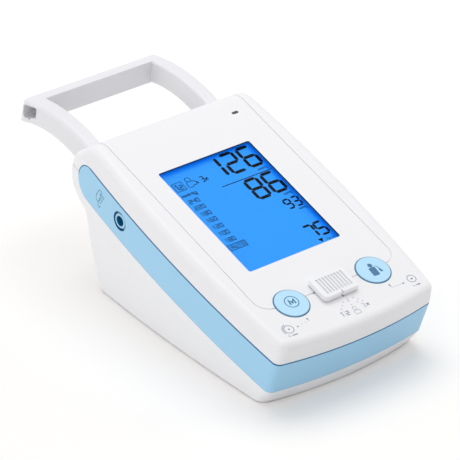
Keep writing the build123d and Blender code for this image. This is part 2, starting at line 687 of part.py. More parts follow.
def upper_housing(form, cavity, groove_floor):
    """Face, rims and rear slope, with everything that is moulded under the face."""
    body = form - cavity
    wall_in = -WALL + LAP
    for spot in at_both((BUTTON_U, BUTTON_V)):
        inner = BUTTON_FLANGE_RADIUS + COLLAR_GAP
        collar_end = -WALL - COLLAR_DEPTH
        body += spot * (disc(inner + COLLAR_WALL, collar_end, wall_in) - disc(inner, collar_end, wall_in))
        body -= spot * disc(BUTTON_RADIUS + BUTTON_GAP, -OVERRUN, OVERRUN)
    for v in POST_ROWS:
        for spot in at_both((POST_U, v)):
            body += spot * disc(POST_RADIUS, -BOARD_FRONT, wall_in)
            body -= spot * disc(BOARD_SCREW_RADIUS + SCREW_FIT, -BOARD_FRONT, -WALL - 1)
    for place in (FRONT_SCREW, REAR_SCREW):
        for spot in at_both(place):
            body += spot * disc(BOSS_RADIUS, -PARTING_DEPTH, wall_in) & form
            body -= spot * disc(SCREW_RADIUS + SCREW_FIT, -PARTING_DEPTH, -PARTING_DEPTH + SCREW_BITE + 1)
    window = RectangleRounded(WINDOW_WIDTH, WINDOW_LENGTH, WINDOW_CORNER)
    step = LENS_LEDGE + LENS_CLEARANCE
    seat = Rectangle(WINDOW_WIDTH + 2 * step, WINDOW_LENGTH + 2 * step)
    middle = FACE * Pos(WINDOW_U, WINDOW_V, 0)
    body -= middle * plate(window, -OVERRUN, OVERRUN)
    body -= middle * plate(seat, -WALL - 1, -LENS_DEPTH)
    body -= FACE * Pos(0, BUTTON_V, 0) * plate(Rectangle(SLOT_LENGTH, SLOT_WIDTH), -OVERRUN / 2, OVERRUN)
    pill = SlotOverall(
        INDICATOR_LENGTH + 2 * INDICATOR_CLEARANCE, INDICATOR_WIDTH + 2 * INDICATOR_CLEARANCE
    )
    body -= FACE * Pos(INDICATOR_U, INDICATOR_V, 0) * plate(pill, -OVERRUN / 2, OVERRUN)
    groove = panel_outline(GROOVE_WIDTH / 2) - panel_outline(-GROOVE_WIDTH / 2)
    return body - (in_face(plate(groove, -OVERRUN, OVERRUN)) & (form - groove_floor))


def battery_bay_walls():
    """Box over the cells and the thickened floor round the door."""
    box = block(
        (-BAY_HALF - BAY_WALL, BAY_HALF + BAY_WALL),
        (BAY_FRONT_Y - BAY_WALL, BAY_BACK_Y + BAY_WALL),
        (FLOOR_Z, BAY_TOP + BAY_WALL),
    )
    rim = block(
        (-RECESS_HALF - DOOR_RIM, RECESS_HALF + DOOR_RIM),
        (RECESS_Y[0] - DOOR_RIM, RECESS_Y[1] + DOOR_RIM),
        (FLOOR_Z, FLOOR_Z + DOOR_RIM_HEIGHT),
    )
    return box + rim


def battery_bay_room():
    """Room for the cells, for the door and for the swing of its tabs."""
    below = FLOOR_Z - 1
    room = block((-BAY_HALF, BAY_HALF), (BAY_FRONT_Y, BAY_BACK_Y), (below, BAY_TOP))
    room += block((-RECESS_HALF, RECESS_HALF), RECESS_Y, (below, RECESS_TOP))
    half = DOOR_TAB_WIDTH / 2 + DOOR_GAP
    swing = block(
        (DOOR_TAB_X - half, DOOR_TAB_X + half),
        (RECESS_Y[0] - DOOR_TAB_REACH - DOOR_GAP, HINGE_Y + DOOR_TAB_SWING),
        (RECESS_TOP, FLOOR_Z + DOOR_TAB_SWING),
    )
    return room + mirrored(swing)


def handle_openings():
    """Room in the lower housing for the handle legs and their tenons."""
    leg = offset(handle_profile(), TENON_CLEARANCE)
    legs = side_prism(leg, HANDLE_HALF + TENON_CLEARANCE)
    legs -= side_prism(leg, HANDLE_GRIP_HALF - TENON_CLEARANCE)
    low_v, high_v = TENON_V
    low_w, high_w = TENON_W
    grow = TENON_CLEARANCE
    room = block(
        (TENON_HALF[0] - grow, TENON_HALF[1] + grow), (low_v - grow, high_v), (low_w - grow, high_w + grow)
    )
    return legs + mirrored(in_face(room))


def tenon_sockets():
    """Boxes round the tenons, moulded to the rear wall."""
    wall = TENON_SOCKET_WALL
    low_v, high_v = TENON_V
    low_w, high_w = TENON_W
    box = block(
        (TENON_HALF[0] - wall, TENON_HALF[1] + wall),
        (low_v - wall, REAR_TIP_V),
        (low_w - wall, high_w + wall),
    )
    return mirrored(in_face(box))


def face_slab(low_w, high_w):
    """Everything between two depths below the face."""
    reach = REAR_TIP_V + OVERRUN
    return in_face(block((-CUT_HALF, CUT_HALF), (-OVERRUN, reach), (low_w, high_w)))


def tongue(outer, inner, root_outer):
    """Lip that stands up from the lower housing inside the upper one."""
    lip = (outer - inner) & face_slab(-PARTING_DEPTH, -PARTING_DEPTH + TONGUE_HEIGHT)
    root = (root_outer - inner) & face_slab(-PARTING_DEPTH - TONGUE_ROOT, -PARTING_DEPTH)
    return lip + root


def foot_places():
    return [(side * FOOT_U, y) for side in (-1, 1) for y in (FRONT_FOOT_Y, REAR_FOOT_Y)]


def lower_housing(form, cavity, recess_core, backing_cavity, lip, seam_core):
    """Walls and floor, with the bay, the bosses and the pads moulded to them."""
    hollow = cavity - band_prism(grow=BACKING_WALL) + backing_cavity
    body = form - hollow + lip
    extras = battery_bay_walls() + tenon_sockets()
    for place in (FRONT_SCREW, REAR_SCREW):
        for spot in at_both(place):
            extras += spot * disc(BOSS_RADIUS, -PARTING_DEPTH - OVERRUN * 2, -PARTING_DEPTH)
    pad_start = (-SOCKET_PAD_X, SOCKET_Y, SOCKET_Z)
    extras += rod(pad_start, OVERRUN, SOCKET_PAD_RADIUS, (-1, 0, 0))
    pad_half = JACK_HALF_HEIGHT + 1.5
    pad_x = (JACK_X - pad_half, JACK_X + pad_half)
    pad_z = (JACK_Z - pad_half, JACK_Z + pad_half)
    extras += block(pad_x, (JACK_PAD_Y, REAR_WALL_Y), pad_z)
    body += extras & form
    body -= (band_prism() & form) - recess_core
    seam_w = -(PARTING_DEPTH + BELT_DEPTH) / 2
    seam = face_slab(seam_w - SEAM_HEIGHT / 2, seam_w + SEAM_HEIGHT / 2) & form
    body -= seam - seam_core
    body -= battery_bay_room()
    body -= handle_openings()
    body -= handle_screw_holes(SCREW_RADIUS + 2 * SCREW_FIT)
    for place in (FRONT_SCREW, REAR_SCREW):
        for spot in at_both(place):
            seat = -PARTING_DEPTH - SCREW_SEAT
            body -= spot * disc(SCREW_RADIUS + 2 * SCREW_FIT, seat - 1, -PARTING_DEPTH + 1)
            body -= spot * disc(SCREW_HEAD_RADIUS + COUNTERBORE_GAP, seat - OVERRUN * 2, seat)
    for x, y in foot_places():
        body -= Pos(x, y, 0) * disc(FOOT_RADIUS + FOOT_CLEARANCE, FLOOR_Z - 1, FLOOR_Z + FOOT_POCKET)
    body -= rod(pad_start, OVERRUN, SOCKET_RIM + SOCKET_FIT, (-1, 0, 0))
    body -= rod((JACK_X, JACK_PAD_Y - 1, JACK_Z), OVERRUN, JACK_NOSE + JACK_FIT, (0, 1, 0))
    return body


def side_band(form, core):
    """Coloured band round the front and both sides, with a hole for the air socket."""
    band = (form & band_prism(top_gap=BAND_TOP_GAP)) - core
    return band - rod((-SOCKET_PAD_X, SOCKET_Y, SOCKET_Z), OVERRUN, SOCKET_RECESS, (-1, 0, 0))


# ================================================================ display and indicator
def at_window(shape):
    return FACE * Pos(WINDOW_U, WINDOW_V, 0) * shape


def display_lens():
    width = WINDOW_WIDTH + 2 * LENS_LEDGE
    length = WINDOW_LENGTH + 2 * LENS_LEDGE
    return at_window(plate(Rectangle(width, length), -LENS_BACK, -LENS_DEPTH))


def lcd_bezel():
    """Frame in front of the glass with a skirt that reaches down to the circuit board."""
    room = Rectangle(GLASS_SIZE[0] + 2 * BEZEL_FIT, GLASS_SIZE[1] + 2 * BEZEL_FIT)
    outside = offset(room, BEZEL_WALL)
    opening = Rectangle(WINDOW_WIDTH + 2 * BEZEL_MARGIN, WINDOW_LENGTH + 2 * BEZEL_MARGIN)
    front = plate(outside - opening, -GLASS_FRONT, -WALL)
    skirt = plate(outside - room, -BOARD_FRONT, -GLASS_FRONT)
    return at_window(front + skirt)


def lcd_glass():
    return at_window(plate(Rectangle(*GLASS_SIZE), -GLASS_BACK, -GLASS_FRONT))


def lcd_backlight():
    length = GLASS_SIZE[1] - 2 * (CONNECTOR_WIDTH + CONNECTOR_GAP)
    return at_window(plate(Rectangle(GLASS_SIZE[0], length), -BOARD_FRONT, -GLASS_BACK))


def lcd_connectors():
    """Two soft strips that join the glass to the circuit board."""
    middle = (GLASS_SIZE[1] - CONNECTOR_WIDTH) / 2
    strip = plate(Rectangle(CONNECTOR_LENGTH, CONNECTOR_WIDTH), -BOARD_FRONT, -GLASS_BACK)
    return at_window(Pos(0, middle, 0) * strip + Pos(0, -middle, 0) * strip)


def indicator_lens():
    """Light guide from the lamp up to the face."""
    led_top = -BOARD_FRONT + LED_HEIGHT
    pill = SlotOverall(INDICATOR_LENGTH, INDICATOR_WIDTH)
    guide = plate(pill, led_top + LED_GAP, -INDICATOR_RECESS)
    flange = plate(offset(pill, INDICATOR_FLANGE), -WALL - INDICATOR_FLANGE, -WALL)
    return FACE * Pos(INDICATOR_U, INDICATOR_V, 0) * (guide + flange)


def indicator_led():
    body = plate(Rectangle(LED_SIZE, LED_SIZE), -BOARD_FRONT, -BOARD_FRONT + LED_HEIGHT)
    return FACE * Pos(INDICATOR_U, INDICATOR_V, 0) * body


# ================================================================ circuit board
def main_pcb():
    length = BOARD_TOP_V - BOARD_BOTTOM_V
    middle = FACE * Pos(0, (BOARD_TOP_V + BOARD_BOTTOM_V) / 2, 0)
    board = middle * plate(Rectangle(2 * BOARD_HALF, length), -BOARD_BACK, -BOARD_FRONT)
    for v in POST_ROWS:
        for spot in at_both((POST_U, v)):
            board -= spot * disc(BOARD_SCREW_RADIUS + 2 * SCREW_FIT, -BOARD_BACK - 1, -BOARD_FRONT + 1)
    for spot in at_both(FRONT_SCREW):
        board -= spot * disc(BOSS_RADIUS + COUNTERBORE_GAP, -BOARD_BACK - 1, -BOARD_FRONT + 1)
    return board


def pcb_screws():
    """Six screws that hold the board against the posts."""
    screws = []
    for v in POST_ROWS:
        for spot in at_both((POST_U, v)):
            head_top = -BOARD_BACK - BOARD_SCREW_HEAD
            head = disc(BOARD_SCREW_HEAD_RADIUS, head_top, -BOARD_BACK)
            shank = disc(BOARD_SCREW_RADIUS, -BOARD_BACK, -BOARD_BACK + BOARD_SCREW_LENGTH)
            drive = plate(RegularPolygon(BOARD_SCREW_RADIUS, 6), head_top, head_top + BOARD_SCREW_HEAD / 2)
            screws.append(spot * (head + shank - drive))
    return screws


def switch_bodies():
    """Two push switches, each with a round well for its plunger."""
    body = plate(Rectangle(SWITCH_SIZE, SWITCH_SIZE), -BOARD_FRONT, -SWITCH_TOP)
    depth = SWITCH_HEIGHT - PLUNGER_FLOOR
    body -= disc(PLUNGER_RADIUS + PLUNGER_FIT, -SWITCH_TOP - depth, -SWITCH_TOP + 1)
    return [spot * body for spot in at_both((BUTTON_U, BUTTON_V))]


def slide_switch():
    """Switch under the mode slider, with a trough for its lever."""
    body = plate(Rectangle(SLIDE_SWITCH_LENGTH, SLIDE_SWITCH_WIDTH), -BOARD_FRONT, -SLIDE_SWITCH_TOP)
    trough_length = LEVER_LENGTH + 2 * (SLIDER_TRAVEL + SLOT_CLEARANCE)
    trough = Rectangle(trough_length, LEVER_WIDTH + 2 * LEVER_FIT)
    body -= plate(trough, -SLIDE_SWITCH_TOP - LEVER_WELL, -SLIDE_SWITCH_TOP + 1)
    return FACE * Pos(0, BUTTON_V, 0) * body


def board_chips():
    chips = []
    for u, v, width, length, height in CHIPS:
        chips.append(FACE * Pos(u, v, 0) * plate(Rectangle(width, length), -BOARD_BACK - height, -BOARD_BACK))
    return chips


def buzzer():
    u, v, radius, height = BUZZER
    can = disc(radius, -BOARD_BACK - height, -BOARD_BACK)
    vent = disc(BOARD_SCREW_RADIUS, -BOARD_BACK - height - 1, -BOARD_BACK - height / 2)
    return FACE * Pos(u, v, 0) * (can - vent)


def pressure_sensor():
    """Sensor on the back of the board with a nipple for its hose."""
    body = plate(Rectangle(SENSOR_SIZE, SENSOR_SIZE), -BOARD_BACK - SENSOR_HEIGHT, -BOARD_BACK)
    low = -BOARD_BACK - SENSOR_HEIGHT - NIPPLE_LENGTH / 2
    body += disc(BARB_RADIUS, low, -BOARD_BACK - SENSOR_HEIGHT)
    body -= disc(AIR_PASSAGE, low - 1, -BOARD_BACK - SENSOR_HEIGHT / 2)
    return FACE * Pos(SENSOR_X, SENSOR_V, 0) * body


# ================================================================ buttons and slider
def push_button(side):
    """Round cap with a slightly domed top, a flange behind the face and a stem."""
    cap = disc(BUTTON_RADIUS, -BUTTON_FLANGE_BACK, BUTTON_PROUD)
    top_edge = cap.edges().filter_by(GeomType.CIRCLE).sort_by(Axis.Z)[-1:]
    cap = chamfer(top_edge, BUTTON_DOME)
    flange_front = -WALL - BUTTON_REST_GAP
    flange = disc(BUTTON_FLANGE_RADIUS, -BUTTON_FLANGE_BACK, flange_front)
    cup = disc(BUTTON_RADIUS - COLLAR_WALL, -BUTTON_FLANGE_BACK - 1, -COLLAR_WALL)
    stem = disc(STEM_RADIUS, -PLUNGER_TOP, -COLLAR_WALL + LAP)
    body = cap + flange - cup + stem
    return FACE * Pos(side * BUTTON_U, BUTTON_V, 0) * body


def plunger(side):
    """Plunger of the push switch, carried down by the stem above it."""
    low = -SWITCH_TOP - SWITCH_HEIGHT + PLUNGER_FLOOR + PLUNGER_POCKET
    return FACE * Pos(side * BUTTON_U, BUTTON_V, 0) * disc(PLUNGER_RADIUS, low, -PLUNGER_TOP)


def mode_slider():
    """Ribbed grip with a pointed notch in its front edge, and the neck below it."""
    outline = RectangleRounded(2 * SLIDER_HALF, SLIDER_WIDTH, SLIDER_CORNER)
    top = SLIDER_GAP + SLIDER_HEIGHT
    cap = plate(outline, SLIDER_GAP + SLIDER_UNDERCUT, top)
    cap = fillet(cap.edges().filter_by(Plane.XY).group_by(Axis.Z)[-1], SLIDER_EDGE)
    cap += plate(offset(outline, -SLIDER_UNDERCUT), SLIDER_GAP, SLIDER_GAP + SLIDER_UNDERCUT + LAP)
    pitch = 2 * (SLIDER_HALF - SLIDER_CORNER) / SLIDER_RIBS
    for number in range(SLIDER_RIBS):
        u = (number - (SLIDER_RIBS - 1) / 2) * pitch
        trough = Pos(u, 0, 0) * Rectangle(SLIDER_RIB_GROOVE, SLIDER_WIDTH - 2 * SLIDER_RIM)
        cap -= plate(trough, top - SLIDER_RIB_DEPTH, top + 1)
    tip_v = -SLIDER_WIDTH / 2 + POINTER_DEPTH
    foot_v = tip_v - 2 * POINTER_DEPTH
    pointer = make_face(
        Polyline((-2 * POINTER_HALF, foot_v), (2 * POINTER_HALF, foot_v), (0, tip_v), close=True)
    )
    cap -= plate(pointer, -1, top + 1)
    neck = plate(Rectangle(NECK_LENGTH, NECK_WIDTH), -RETAINER_BACK, SLIDER_GAP + LAP)
    return FACE * Pos(0, BUTTON_V, 0) * (cap + neck)


def slider_retainer():
    """Plate on the end of the neck, with two fork walls that carry the switch lever."""
    base = plate(Rectangle(FOOT_PLATE_LENGTH, FOOT_PLATE_WIDTH), -RETAINER_BACK, -RETAINER_FRONT)
    base -= plate(Rectangle(NECK_LENGTH, NECK_WIDTH), -RETAINER_BACK - 1, -RETAINER_FRONT + 1)
    wall = plate(Rectangle(FORK_WALL, FOOT_PLATE_WIDTH - 2), -SLIDE_SWITCH_TOP + LEVER_FIT, -RETAINER_BACK)
    reach = (LEVER_LENGTH + FORK_WALL) / 2
    sill_outline = Rectangle(2 * reach + FORK_WALL, FOOT_PLATE_WIDTH - 2)
    base += plate(sill_outline, -RETAINER_BACK - FORK_SILL, -RETAINER_BACK)
    base += Pos(reach, 0, 0) * wall + Pos(-reach, 0, 0) * wall
    return FACE * Pos(0, BUTTON_V, 0) * base


def mode_lever():
    """Lever of the slide switch, held between the fork walls."""
    low = -SLIDE_SWITCH_TOP - LEVER_WELL + LEVER_FIT
    return FACE * Pos(0, BUTTON_V, 0) * plate(
        Rectangle(LEVER_LENGTH, LEVER_WIDTH), low, -RETAINER_BACK - FORK_SILL
    )


# ================================================================ screws and feet
def housing_screws():
    """Four long-reach screws that clamp the lower housing to the upper one."""
    screws = []
    seat = -PARTING_DEPTH - SCREW_SEAT
    for place in (FRONT_SCREW, REAR_SCREW):
        for spot in at_both(place):
            head = disc(SCREW_HEAD_RADIUS, seat - SCREW_HEAD_HEIGHT, seat)
            shank = disc(SCREW_RADIUS, seat, -PARTING_DEPTH + SCREW_BITE)
            low = seat - SCREW_HEAD_HEIGHT
            drive = plate(RegularPolygon(SCREW_SOCKET, 6), low, low + SCREW_SOCKET_DEPTH)
            screws.append(spot * (head + shank - drive))
    return screws


def rubber_feet():
    feet = []
    for x, y in foot_places():
        foot = disc(FOOT_RADIUS, 0, FLOOR_Z + FOOT_POCKET)
        rim = foot.edges().filter_by(GeomType.CIRCLE).sort_by(Axis.Z)[:1]
        feet.append(Pos(x, y, 0) * chamfer(rim, FOOT_PROUD / 2))
    return feet


# ================================================================ batteries
def cell_places():
    """Middle X, first Y and direction of the four cells, a series loop of two rows."""
    first = BAY_FRONT_Y + CONTACT_THICKNESS
    pitch = CELL_LENGTH + CELL_NUB
    places = []
    for row, direction in ((-1, 1), (1, -1)):
        start = first + (SPRING_SPACE + CELL_GAP if direction > 0 else 0)
        for number in range(2):
            places.append((row * CELL_X, start + number * pitch, direction))
    return places


def battery_cells():
    cells = []
    for x, y, direction in cell_places():
        body = disc(CELL_RADIUS, 0, CELL_LENGTH)
        ends = body.edges().filter_by(GeomType.CIRCLE)
        body = chamfer(ends, CELL_EDGE) + disc(CELL_NUB_RADIUS, CELL_LENGTH, CELL_LENGTH + CELL_NUB)
        if direction > 0:
            cells.append(Plane(origin=(x, y, CELL_Z), z_dir=(0, 1, 0)) * body)
        else:
            end = y + CELL_LENGTH + CELL_NUB
            cells.append(Plane(origin=(x, end, CELL_Z), z_dir=(0, -1, 0)) * body)
    return cells


def battery_plates():
    """Contact plates at both ends of the bay; the rear plate joins the two rows."""
    thick = CONTACT_THICKNESS
    z_range = (CELL_Z - CONTACT_HALF, CELL_Z + CONTACT_HALF)
    plates = []
    for x in (-CELL_X, CELL_X):
        plates.append(
            block((x - CONTACT_HALF, x + CONTACT_HALF), (BAY_FRONT_Y, BAY_FRONT_Y + thick), z_range)
        )
    half = CELL_X + CONTACT_HALF
    plates.append(block((-half, half), (BAY_BACK_Y - thick, BAY_BACK_Y), z_range))
    return plates


def battery_springs():
    """One coil spring at the flat end of each row."""
    low = SPRING_WIRE
    height = SPRING_SPACE - 2 * SPRING_WIRE
    path = Helix(SPRING_PITCH, height, SPRING_RADIUS)
    start = Plane(origin=path @ 0, z_dir=path % 0)
    coil = sweep(start * Circle(SPRING_WIRE), path=path)
    springs = []
    front = Plane(origin=(-CELL_X, BAY_FRONT_Y + CONTACT_THICKNESS + low, CELL_Z), z_dir=(0, 1, 0))
    back = Plane(origin=(CELL_X, BAY_BACK_Y - CONTACT_THICKNESS - low, CELL_Z), z_dir=(0, -1, 0))
    for place in (front, back):
        springs.append(place * coil)
    return springs


def battery_door():
    """Door in the floor: two hooks in front, a sprung latch tongue and grip grooves behind."""
    front = HINGE_Y
    back = RECESS_Y[1] - DOOR_GAP
    half = RECESS_HALF - DOOR_GAP
    top = FLOOR_Z + DOOR_THICKNESS
    body = block((-half, half), (front, back), (FLOOR_Z, top))
    hook_top = RECESS_TOP + DOOR_GAP / 2 + DOOR_TAB_THICKNESS
    tab_x = (DOOR_TAB_X - DOOR_TAB_WIDTH / 2, DOOR_TAB_X + DOOR_TAB_WIDTH / 2)
    tab_back = front + DOOR_TAB_THICKNESS
    riser = block(tab_x, (front, tab_back), (top - LAP, hook_top))
    hook = block(tab_x, (RECESS_Y[0] - DOOR_TAB_REACH, tab_back), (RECESS_TOP + DOOR_GAP / 2, hook_top))
    body += mirrored(riser + hook)
    latch_half = LATCH_WIDTH / 2
    latch_x = (-latch_half, latch_half)
    latch_y = BAY_BACK_Y - LATCH_GAP
    body += block(latch_x, (latch_y - LATCH_THICKNESS, latch_y), (top - LAP, top + LATCH_HEIGHT))
    slit_x = (latch_half, latch_half + LATCH_SLIT)
    body -= mirrored(block(slit_x, (back - 2 * LATCH_WIDTH, back + 1), (FLOOR_Z - 1, top + 1)))
    for number in range(GRIP_GROOVES):
        y = back - 2 - number * 2 * LATCH_THICKNESS
        body -= block(latch_x, (y - LATCH_THICKNESS, y), (FLOOR_Z - 1, FLOOR_Z + GRIP_DEPTH))
    return body


# ================================================================ pump
def along_pump(y):
    """Frame on the pump axis at a given Y, pointing to the back."""
    return Plane(origin=(PUMP_X, y, PUMP_Z), x_dir=(1, 0, 0), z_dir=(0, 1, 0))


def pump_motor_can():
    """Motor shell with a bushing at each end."""
    can = disc(MOTOR_RADIUS, 0, MOTOR_LENGTH)
    can -= disc(MOTOR_RADIUS - MOTOR_WALL, MOTOR_WALL, MOTOR_LENGTH - MOTOR_WALL)
    can += disc(BUSHING_RADIUS, 0, BUSHING_LENGTH)
    can += disc(BUSHING_RADIUS, MOTOR_LENGTH - BUSHING_LENGTH, MOTOR_LENGTH)
    can -= disc(SHAFT_RADIUS + SHAFT_FIT, MOTOR_WALL / 2, MOTOR_LENGTH + 1)
    return along_pump(MOTOR_FRONT_Y) * can


def pump_rotor():
    """Motor shaft with the eccentric that drives the pump diaphragms."""
    low = MOTOR_WALL / 2 + SHAFT_END_GAP
    cam_middle = CAM_Y - MOTOR_FRONT_Y
    shaft = disc(SHAFT_RADIUS, low, cam_middle + CAM_WIDTH / 2)
    cam = Pos(CAM_OFFSET, 0, 0) * disc(CAM_RADIUS, cam_middle - CAM_WIDTH / 2, cam_middle + CAM_WIDTH / 2)
    return along_pump(MOTOR_FRONT_Y) * (shaft + cam)


def motor_armature():
    """Slotted armature pressed on the shaft."""
    low = (MOTOR_LENGTH - ARMATURE_LENGTH) / 2
    body = disc(ARMATURE_RADIUS, low, low + ARMATURE_LENGTH) - disc(SHAFT_RADIUS, 0, MOTOR_LENGTH)
    for number in range(ARMATURE_SLOTS):
        slot = plate(Rectangle(2 * ARMATURE_SLOT_DEPTH, ARMATURE_SLOT_WIDTH), 0, MOTOR_LENGTH)
        body -= Rot(0, 0, number * 360 / ARMATURE_SLOTS) * Pos(ARMATURE_RADIUS, 0, 0) * slot
    return along_pump(MOTOR_FRONT_Y) * body


def pump_head():
    """Square head with a chamber round the eccentric and an outlet nipple."""
    body = plate(Rectangle(HEAD_SIZE, HEAD_SIZE), 0, HEAD_LENGTH)
    body = fillet(body.edges().filter_by(Axis.Z), HEAD_WALL)
    body -= disc(HEAD_SIZE / 2 - HEAD_WALL, HEAD_WALL, HEAD_LENGTH - HEAD_WALL)
    body -= disc(BUSHING_RADIUS, -1, HEAD_WALL + 1)
    outlet = Pos(0, AIR_LINE_Z - PUMP_Z, 0)
    body += outlet * disc(BARB_RADIUS, HEAD_LENGTH - LAP, HEAD_LENGTH + NIPPLE_LENGTH)
    body -= outlet * disc(AIR_PASSAGE, HEAD_LENGTH - HEAD_WALL - 1, HEAD_LENGTH + NIPPLE_LENGTH + 1)
    return along_pump(MOTOR_BACK_Y) * body


def pump_cradle():
    """Soft block that carries the motor and the pump head on the floor."""
    body = block((PUMP_X - CRADLE_HALF, PUMP_X + CRADLE_HALF), CRADLE_Y, (FLOOR_TOP, CRADLE_TOP))
    body -= along_pump(0) * disc(MOTOR_RADIUS, 0, MOTOR_BACK_Y)
    head_half = HEAD_SIZE / 2
    body -= block(
        (PUMP_X - head_half, PUMP_X + head_half), (MOTOR_BACK_Y, HEAD_BACK_Y), (PUMP_Z - head_half, PUMP_Z)
    )
    return body


# ================================================================ air line
def air_manifold():
    """Block that joins pump, valve, socket and sensor."""
    body = block(BLOCK_X, BLOCK_Y, (FLOOR_TOP, BLOCK_TOP))
    body += rod((PUMP_X, BLOCK_Y[0] - NIPPLE_LENGTH, AIR_LINE_Z), NIPPLE_LENGTH + 1, BARB_RADIUS, (0, 1, 0))
    for x, y in (INLET_NIPPLE, SENSOR_NIPPLE):
        body += Pos(x, y, 0) * disc(BARB_RADIUS, BLOCK_TOP - 1, BLOCK_TOP + NIPPLE_LENGTH)
    through = BLOCK_Y[1] - BLOCK_Y[0] + NIPPLE_LENGTH + 2
    body -= rod((PUMP_X, BLOCK_Y[0] - NIPPLE_LENGTH - 1, AIR_LINE_Z), through, AIR_PASSAGE, (0, 1, 0))
    for x, y in (INLET_NIPPLE, SENSOR_NIPPLE):
        body -= Pos(x, y, 0) * disc(AIR_PASSAGE, AIR_LINE_Z, BLOCK_TOP + NIPPLE_LENGTH + 1)
    body -= rod((PUMP_X, INLET_NIPPLE[1], AIR_LINE_Z), INLET_NIPPLE[0] - PUMP_X, AIR_PASSAGE, (1, 0, 0))
    return body


def along_valve():
    return Plane(origin=(PUMP_X, COIL_Y, AIR_LINE_Z), x_dir=(1, 0, 0), z_dir=(0, 1, 0))


def valve_coil():
    """Solenoid of the release valve, flanged to the back of the air block."""
    body = disc(COIL_RADIUS - COIL_WALL, 0, COIL_LENGTH)
    body += disc(COIL_RADIUS, 0, COIL_WALL) + disc(COIL_RADIUS, COIL_LENGTH - COIL_WALL, COIL_LENGTH)
    body -= disc(VALVE_PLUNGER_RADIUS + VALVE_PLUNGER_FIT, -1, COIL_LENGTH - COIL_WALL)
    return along_valve() * body


def valve_plunger():
    low = VALVE_REST_GAP
    return along_valve() * disc(VALVE_PLUNGER_RADIUS, low, low + VALVE_PLUNGER_LENGTH)


def tube(points, bend):
    """Hose that follows straight runs joined by one bend radius."""
    path = FilletPolyline(*points, radius=bend) if len(points) > 2 else Line(*points)
    start = Plane(origin=path @ 0, z_dir=path % 0)
    section = Circle(HOSE_RADIUS) - Circle(BARB_RADIUS + HOSE_FIT)
    return sweep(start * section, path=path)


def air_hoses():
    """Socket to air block, pump to air block, and air block to pressure sensor."""
    socket_end = -SOCKET_PAD_X + SEAL_THICKNESS + SOCKET_FLANGE_THICKNESS + HOSE_GAP
    nipple_foot = BLOCK_TOP + HOSE_GAP
    socket_hose = tube(
        [
            (socket_end, SOCKET_Y, SOCKET_Z),
            (INLET_X, SOCKET_Y, SOCKET_Z),
            (INLET_X, SOCKET_Y, nipple_foot),
        ],
        HOSE_BEND,
    )
    pump_start = (PUMP_X, HEAD_BACK_Y + HOSE_GAP, AIR_LINE_Z)
    pump_hose = tube([pump_start, (PUMP_X, BLOCK_Y[0] - HOSE_GAP, AIR_LINE_Z)], HOSE_BEND)
    x, y = SENSOR_NIPPLE
    bend_y, bend_z = desk_point(SENSOR_V, SENSOR_BEND_W)
    top_y, top_z = desk_point(SENSOR_V, -BOARD_BACK - SENSOR_HEIGHT - HOSE_GAP)
    sensor_hose = tube([(x, bend_y, nipple_foot), (x, bend_y, bend_z), (x, top_y, top_z)], HOSE_BEND)
    return [socket_hose, pump_hose, sensor_hose]


def air_socket():
    """Round socket in the band for the cuff's hose, with flange and barb inside."""
    flange_x = -SOCKET_PAD_X + SEAL_THICKNESS
    start = (-SOCKET_FACE_X, SOCKET_Y, SOCKET_Z)
    inner = (flange_x, SOCKET_Y, SOCKET_Z)
    inward = (1, 0, 0)
    body = rod(start, SOCKET_FACE_X + flange_x + LAP, SOCKET_RIM, inward)
    body = chamfer(body.edges().sort_by(Axis.X)[:1], SOCKET_CHAMFER)
    body += rod(inner, SOCKET_FLANGE_THICKNESS, SOCKET_FLANGE, inward)
    barb_start = (flange_x + SOCKET_FLANGE_THICKNESS, SOCKET_Y, SOCKET_Z)
    body += rod(barb_start, BARB_LENGTH, BARB_RADIUS, inward)
    body -= rod(start, SOCKET_BORE_LENGTH, SOCKET_BORE, inward)
    return body - rod(start, OVERRUN, AIR_PASSAGE, inward)


def socket_seal():
    """Soft washer between the socket's flange and the pad."""
    start = (-SOCKET_PAD_X, SOCKET_Y, SOCKET_Z)
    washer = rod(start, SEAL_THICKNESS, SOCKET_FLANGE, (1, 0, 0))
    return washer - rod(start, SEAL_THICKNESS, SOCKET_RIM, (1, 0, 0))


def dc_jack():
    """Mains adapter socket: box behind the rear wall, round nose in the wall, centre pin."""
    rear = (0, 1, 0)
    body = block(
        (JACK_X - JACK_HALF_WIDTH, JACK_X + JACK_HALF_WIDTH),
        (JACK_PAD_Y - JACK_LENGTH, JACK_PAD_Y),
        (JACK_Z - JACK_HALF_HEIGHT, JACK_Z + JACK_HALF_HEIGHT),
    )
    body += rod((JACK_X, JACK_PAD_Y - 1, JACK_Z), JACK_FACE_Y - JACK_PAD_Y + 1, JACK_NOSE, rear)
    bottom = (JACK_X, JACK_FACE_Y - JACK_BORE_LENGTH, JACK_Z)
    body -= rod(bottom, JACK_BORE_LENGTH + 1, JACK_BARREL, rear)
    return body + rod(bottom, JACK_BORE_LENGTH - JACK_PIN_RECESS, JACK_PIN, rear)


